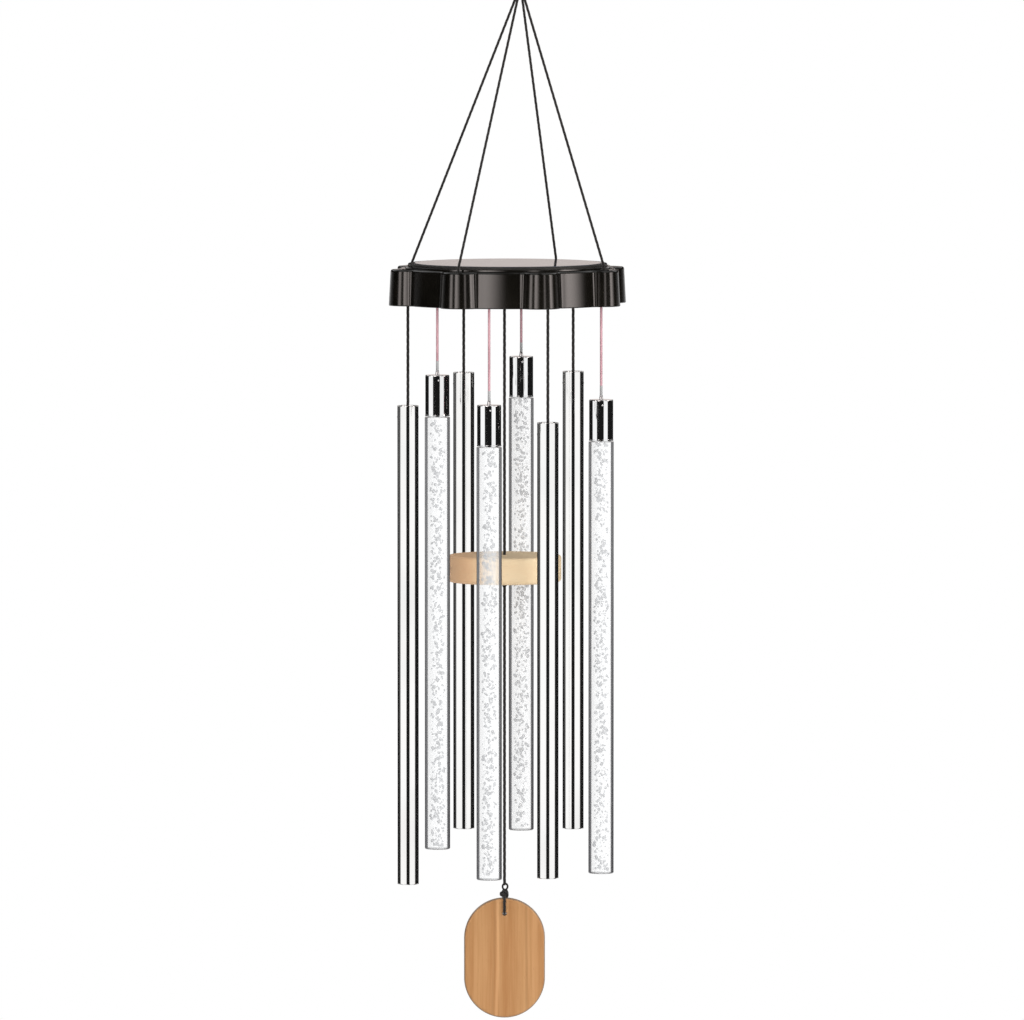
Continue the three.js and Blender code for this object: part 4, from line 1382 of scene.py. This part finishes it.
class CHIME_OT_light_rods(bpy.types.Operator):
    """Clear rods with their bubbles, lamps and chromed caps"""

    bl_idname = "chime.light_rods"
    bl_label = "Light rods"

    def execute(self, context):
        sizes = context.scene.chime_rods
        colours = context.scene.chime_colours
        clear = clear_acrylic(colours)
        air = seed_bubble(colours)
        chrome = metal(
            "chrome_plate", colours.chrome, 0.025, streak=0.02, scale=900, draft=CAP_DRAFT
        )
        lens = lamp_lens(colours)
        draw = random.Random(20)
        ball = self.unit_ball()
        for number in NUMBERS:
            self.rod(number, clear)
            self.bubbles(number, sizes, air, draw, ball)
            self.cap(number, chrome)
            self.stem(context, number)
            paint(lens, f"rod_led_{number}")
        return {"FINISHED"}

    def shoulder(self, number):
        """Level of the rod's shoulder, under the cap."""
        return bottom(f"rod_cap_{number}") - 0.3 * MM

    def rod(self, number, finish):
        """A round bar with a spigot that fits into the cap."""
        node = f"crystal_rod_{number}"
        low, high = bottom(node), top(node)
        radius = half_span(node)
        spigot = half_span(f"rod_cap_{number}") - 1.1 * MM
        shoulder = self.shoulder(number)
        corners = [
            (0, low), (radius, low), (radius, shoulder),
            (spigot, shoulder), (spigot, high), (0, high),
        ]
        radii = mm(0, 0.6, 0.2, 0.1, 0.3, 0)
        form = Form().turned(corners, radii, middle(node), sides=80, steps=6, support=0.2 * MM)
        name = f"{node}_clear"
        piece(name, form, finish, f"rod_{number}", node, mirrored=False)

    @staticmethod
    def unit_ball():
        work = bmesh.new()
        bmesh.ops.create_icosphere(work, subdivisions=2, radius=1.0)
        points = [v.co.copy() for v in work.verts]
        faces = [[v.index for v in f.verts] for f in work.faces]
        work.free()
        return points, faces

    def bubbles(self, number, sizes, finish, draw, ball):
        """Air bubbles through the rod's heart, most of them small and a little drawn out."""
        node = f"crystal_rod_{number}"
        core = sizes.bubble_core * half_span(node)
        centre = middle(node)
        low = bottom(node) + 1.5 * MM
        high = self.shoulder(number) - 0.8 * MM
        tilt = 0.9
        form = Form()
        points, faces = ball
        for _ in range(sizes.bubbles):
            reach = core * math.sqrt(draw.random())
            turn = draw.uniform(0, TURN)
            level = draw.uniform(low, high)
            size = sizes.bubble_radius * min(2.0, max(0.45, draw.lognormvariate(0, 0.42)))
            stretch = (draw.uniform(0.8, 1.1), draw.uniform(0.8, 1.1), draw.uniform(0.8, 1.7))
            out = Vector((reach * math.cos(turn), reach * math.sin(turn), 0))
            place = at_level(centre + out, level)
            lean = Matrix.Rotation(draw.uniform(-tilt, tilt), 3, "Y")
            lean = lean @ Matrix.Rotation(draw.uniform(-tilt, tilt), 3, "X")
            shape = lean @ Matrix.Diagonal(Vector(stretch) * size)
            form.join([place + shape @ p for p in points], faces)
        name = f"rod_bubbles_{number}"
        body = f"rod_{number}"
        piece(name, form, finish, body, crease=180, mirrored=False)

    def cap(self, number, finish):
        """A chromed cap with a rolled foot and a small retaining pin at its front."""
        node = f"rod_cap_{number}"
        low, high = bottom(node), top(node)
        centre = middle(node)
        radius = half_span(node)
        skirt = radius - 0.1 * MM
        bore = radius - 0.8 * MM
        neck = 1 * MM
        ceiling = high - 1.2 * MM
        bead = low + 0.9 * MM
        ring = [
            (neck, ceiling), (bore, ceiling), (bore, low), (radius, low),
            (radius, bead), (skirt, bead), (skirt, high), (neck, high),
        ]
        radii = mm(0.1, 0.1, 0.1, 0.35, 0.06, 0.05, 0.45, 0.2)
        form = Form().turned(ring, radii, centre, sides=96, support=0.05 * MM, hollow=True)
        profile = [mm(*p) for p in ((0, 0), (0.55, 0), (0.48, 0.22), (0.25, 0.36), (0, 0.4))]
        pin = Form().lathe(profile, ORIGIN, sides=20)
        bearing = math.radians(6)
        seat = radius - 0.24 * MM
        out = Vector((seat * math.sin(bearing), -seat * math.cos(bearing), 0))
        place = Matrix.Translation(at_level(centre + out, high - 2.6 * MM))
        turn = Matrix.Rotation(bearing, 4, "Z") @ Matrix.Rotation(math.pi / 2, 4, "X")
        pin.moved(place @ turn)
        form.join(pin.points, pin.faces)
        name = f"{node}_chromed"
        piece(name, form, finish, f"rod_{number}", node, mirrored=False)

    def stem(self, context, number):
        """The slim ferrule above the cap, and the grey sleeve over the end of the wire."""
        node = f"rod_cap_{number}"
        body = f"rod_{number}"
        high = top(node)
        centre = middle(node)
        bore, foot, lip, cover = mm(0.5, 0.95, 0.72, 0.69)
        root = high - 1 * MM
        waist = high + 0.6 * MM
        neck = high + 2.2 * MM
        end = high + 7 * MM
        edge = 0.03 * MM
        ferrule = [(bore, root), (foot, root), (foot, waist), (lip, neck), (bore, neck)]
        form = Form().turned(ferrule, edge, centre, sides=24, steps=3, hollow=True)
        piece(f"rod_ferrule_{number}", form, steel_finish(context), body)
        sleeve = ring_corners(bore, cover, neck - 0.5 * MM, end)
        form = Form().turned(sleeve, edge, centre, sides=24, steps=3, hollow=True)
        grey = context.scene.chime_colours.sleeve
        finish = shared("grey_sleeve", satin_plastic, "grey_sleeve", grey)
        piece(f"wire_sleeve_{number}", form, finish, body)


class CHIME_OT_striker(bpy.types.Operator):
    """Turned wooden striker"""

    bl_idname = "chime.striker"
    bl_label = "Striker"

    def execute(self, context):
        colours = context.scene.chime_colours
        hole = 1.15 * MM
        ring = ring_corners(hole, half_span("striker"), bottom("striker"), top("striker"))
        radii = mm(0.3, 1.8, 1.6, 0.3)
        form = Form().turned(
            ring, radii, middle("striker"), sides=160, steps=7, support=0.3 * MM, hollow=True
        )
        # Painted shade on the striker's left side, laid on as one streak.
        painted_left_shade = ((PLUMB.x - 25 * MM, 12 * MM, colours.painted_left_shade, 0.9),)
        finish = wood(
            "striker_maple", colours.maple, colours.maple_dark, along=0, streaks=painted_left_shade
        )
        piece("striker_disc", form, finish, "striker", "striker", mirrored=False)
        return {"FINISHED"}


class CHIME_OT_wind_catcher(bpy.types.Operator):
    """Wooden wind catcher with its cord hole"""

    bl_idname = "chime.wind_catcher"
    bl_label = "Wind catcher"

    def execute(self, context):
        colours = context.scene.chime_colours
        pale = toned(colours.alder, 1.3, lift=0.03)
        dark = toned(colours.alder, 0.62)
        streaks = (
            (PLUMB.x - 3.7 * MM, 0.6 * MM, pale, 0.6),
            (PLUMB.x + 11 * MM, 0.7 * MM, dark, 0.4),
            (PLUMB.x - 5.4 * MM, 0.5 * MM, dark, 0.3),
            (PLUMB.x + 15.8 * MM, 1.6 * MM, pale, 0.25),
        )
        finish = wood(
            "catcher_alder", colours.alder, colours.alder_dark, along=2, streaks=streaks,
            painted_edge_shade=colours.painted_edge_shade,
        )
        form = Form().loft(self.rows(), True)
        piece("wind_catcher_board", form, finish, "catcher", "wind_catcher", crease=40)
        return {"FINISHED"}

    def outline(self, inset, depth=0.0, count=144):
        """The round-ended outline, moved inwards by inset, at a depth from the middle."""
        centre = middle("wind_catcher")
        radius = half_span("wind_catcher")
        rise = half_span("wind_catcher", "z") - radius
        points = []
        for i in range(count):
            turn = TURN * i / count
            lift = rise if math.sin(turn) >= 0 else -rise
            across = centre.x + (radius - inset) * math.cos(turn)
            level = centre.z + lift + (radius - inset) * math.sin(turn)
            points.append(Vector((across, depth, level)))
        return points

    def rows(self):
        """Rows from the hole over the front face, round the edge and back over the rear face."""
        half = half_span("wind_catcher", "y")
        hole = Vector((PLUMB.x, 0, top("wind_catcher") - CATCHER_HOLE))
        hole_radius, lip, edge = mm(0.9, 0.45, 1.3)
        ways = [(p - hole).normalized() for p in self.outline(0)]

        def ring(radius, depth):
            return [hole + way * radius + depth * BACK for way in ways]

        front = []
        for angle in map(math.radians, (90, 60, 30, 0)):
            radius = hole_radius + lip * (1 - math.sin(angle))
            front.append(ring(radius, -half + lip * (1 - math.cos(angle))))
        front.append(ring(hole_radius + 0.7 * MM, -half))
        front.append(self.outline(edge + 0.4 * MM, -half))
        steps = 6
        for i in range(steps + 1):
            angle = 0.25 * TURN * i / steps
            depth = -half + edge * (1 - math.cos(angle))
            front.append(self.outline(edge * (1 - math.sin(angle)), depth))
        front.append(self.outline(0, -half + edge + 0.3 * MM))
        back = [[Vector((p.x, -p.y, p.z)) for p in row] for row in reversed(front)]
        return front + back


class CHIME_PT_panel(bpy.types.Panel):
    """Wind chime's pieces and settings"""

    bl_idname = "CHIME_PT_panel"
    bl_label = "Wind chime"
    bl_space_type = "VIEW_3D"
    bl_region_type = "UI"
    bl_category = "Wind chime"

    def draw(self, context):
        for operator in OPERATORS:
            self.layout.operator(operator.bl_idname)
        for name in GROUPS:
            settings = getattr(context.scene, name)
            box = self.layout.box()
            for key in settings.__annotations__:
                box.prop(settings, key)


OPERATORS = (
    CHIME_OT_stage,
    CHIME_OT_cords,
    CHIME_OT_knots,
    CHIME_OT_hanger,
    CHIME_OT_canopy,
    CHIME_OT_solar_panel,
    CHIME_OT_underside,
    CHIME_OT_tubes,
    CHIME_OT_light_rods,
    CHIME_OT_striker,
    CHIME_OT_wind_catcher,
)
GROUPS = {
    "chime_canopy": CanopySizes,
    "chime_cords": CordSizes,
    "chime_rods": RodSizes,
    "chime_colours": Colours,
    "chime_studio": Studio,
}


def register():
    for name, group in GROUPS.items():
        bpy.utils.register_class(group)
        setattr(bpy.types.Scene, name, bpy.props.PointerProperty(type=group))
    for operator in OPERATORS:
        bpy.utils.register_class(operator)
    bpy.utils.register_class(CHIME_PT_panel)


def unregister():
    bpy.utils.unregister_class(CHIME_PT_panel)
    for operator in reversed(OPERATORS):
        bpy.utils.unregister_class(operator)
    for name, group in GROUPS.items():
        delattr(bpy.types.Scene, name)
        bpy.utils.unregister_class(group)


def main():
    register()
    bpy.ops.chime.stage()
    bpy.ops.chime.cords()
    bpy.ops.chime.knots()
    bpy.ops.chime.hanger()
    bpy.ops.chime.canopy()
    bpy.ops.chime.solar_panel()
    bpy.ops.chime.underside()
    bpy.ops.chime.tubes()
    bpy.ops.chime.light_rods()
    bpy.ops.chime.striker()
    bpy.ops.chime.wind_catcher()


if __name__ == "__main__":
    main()
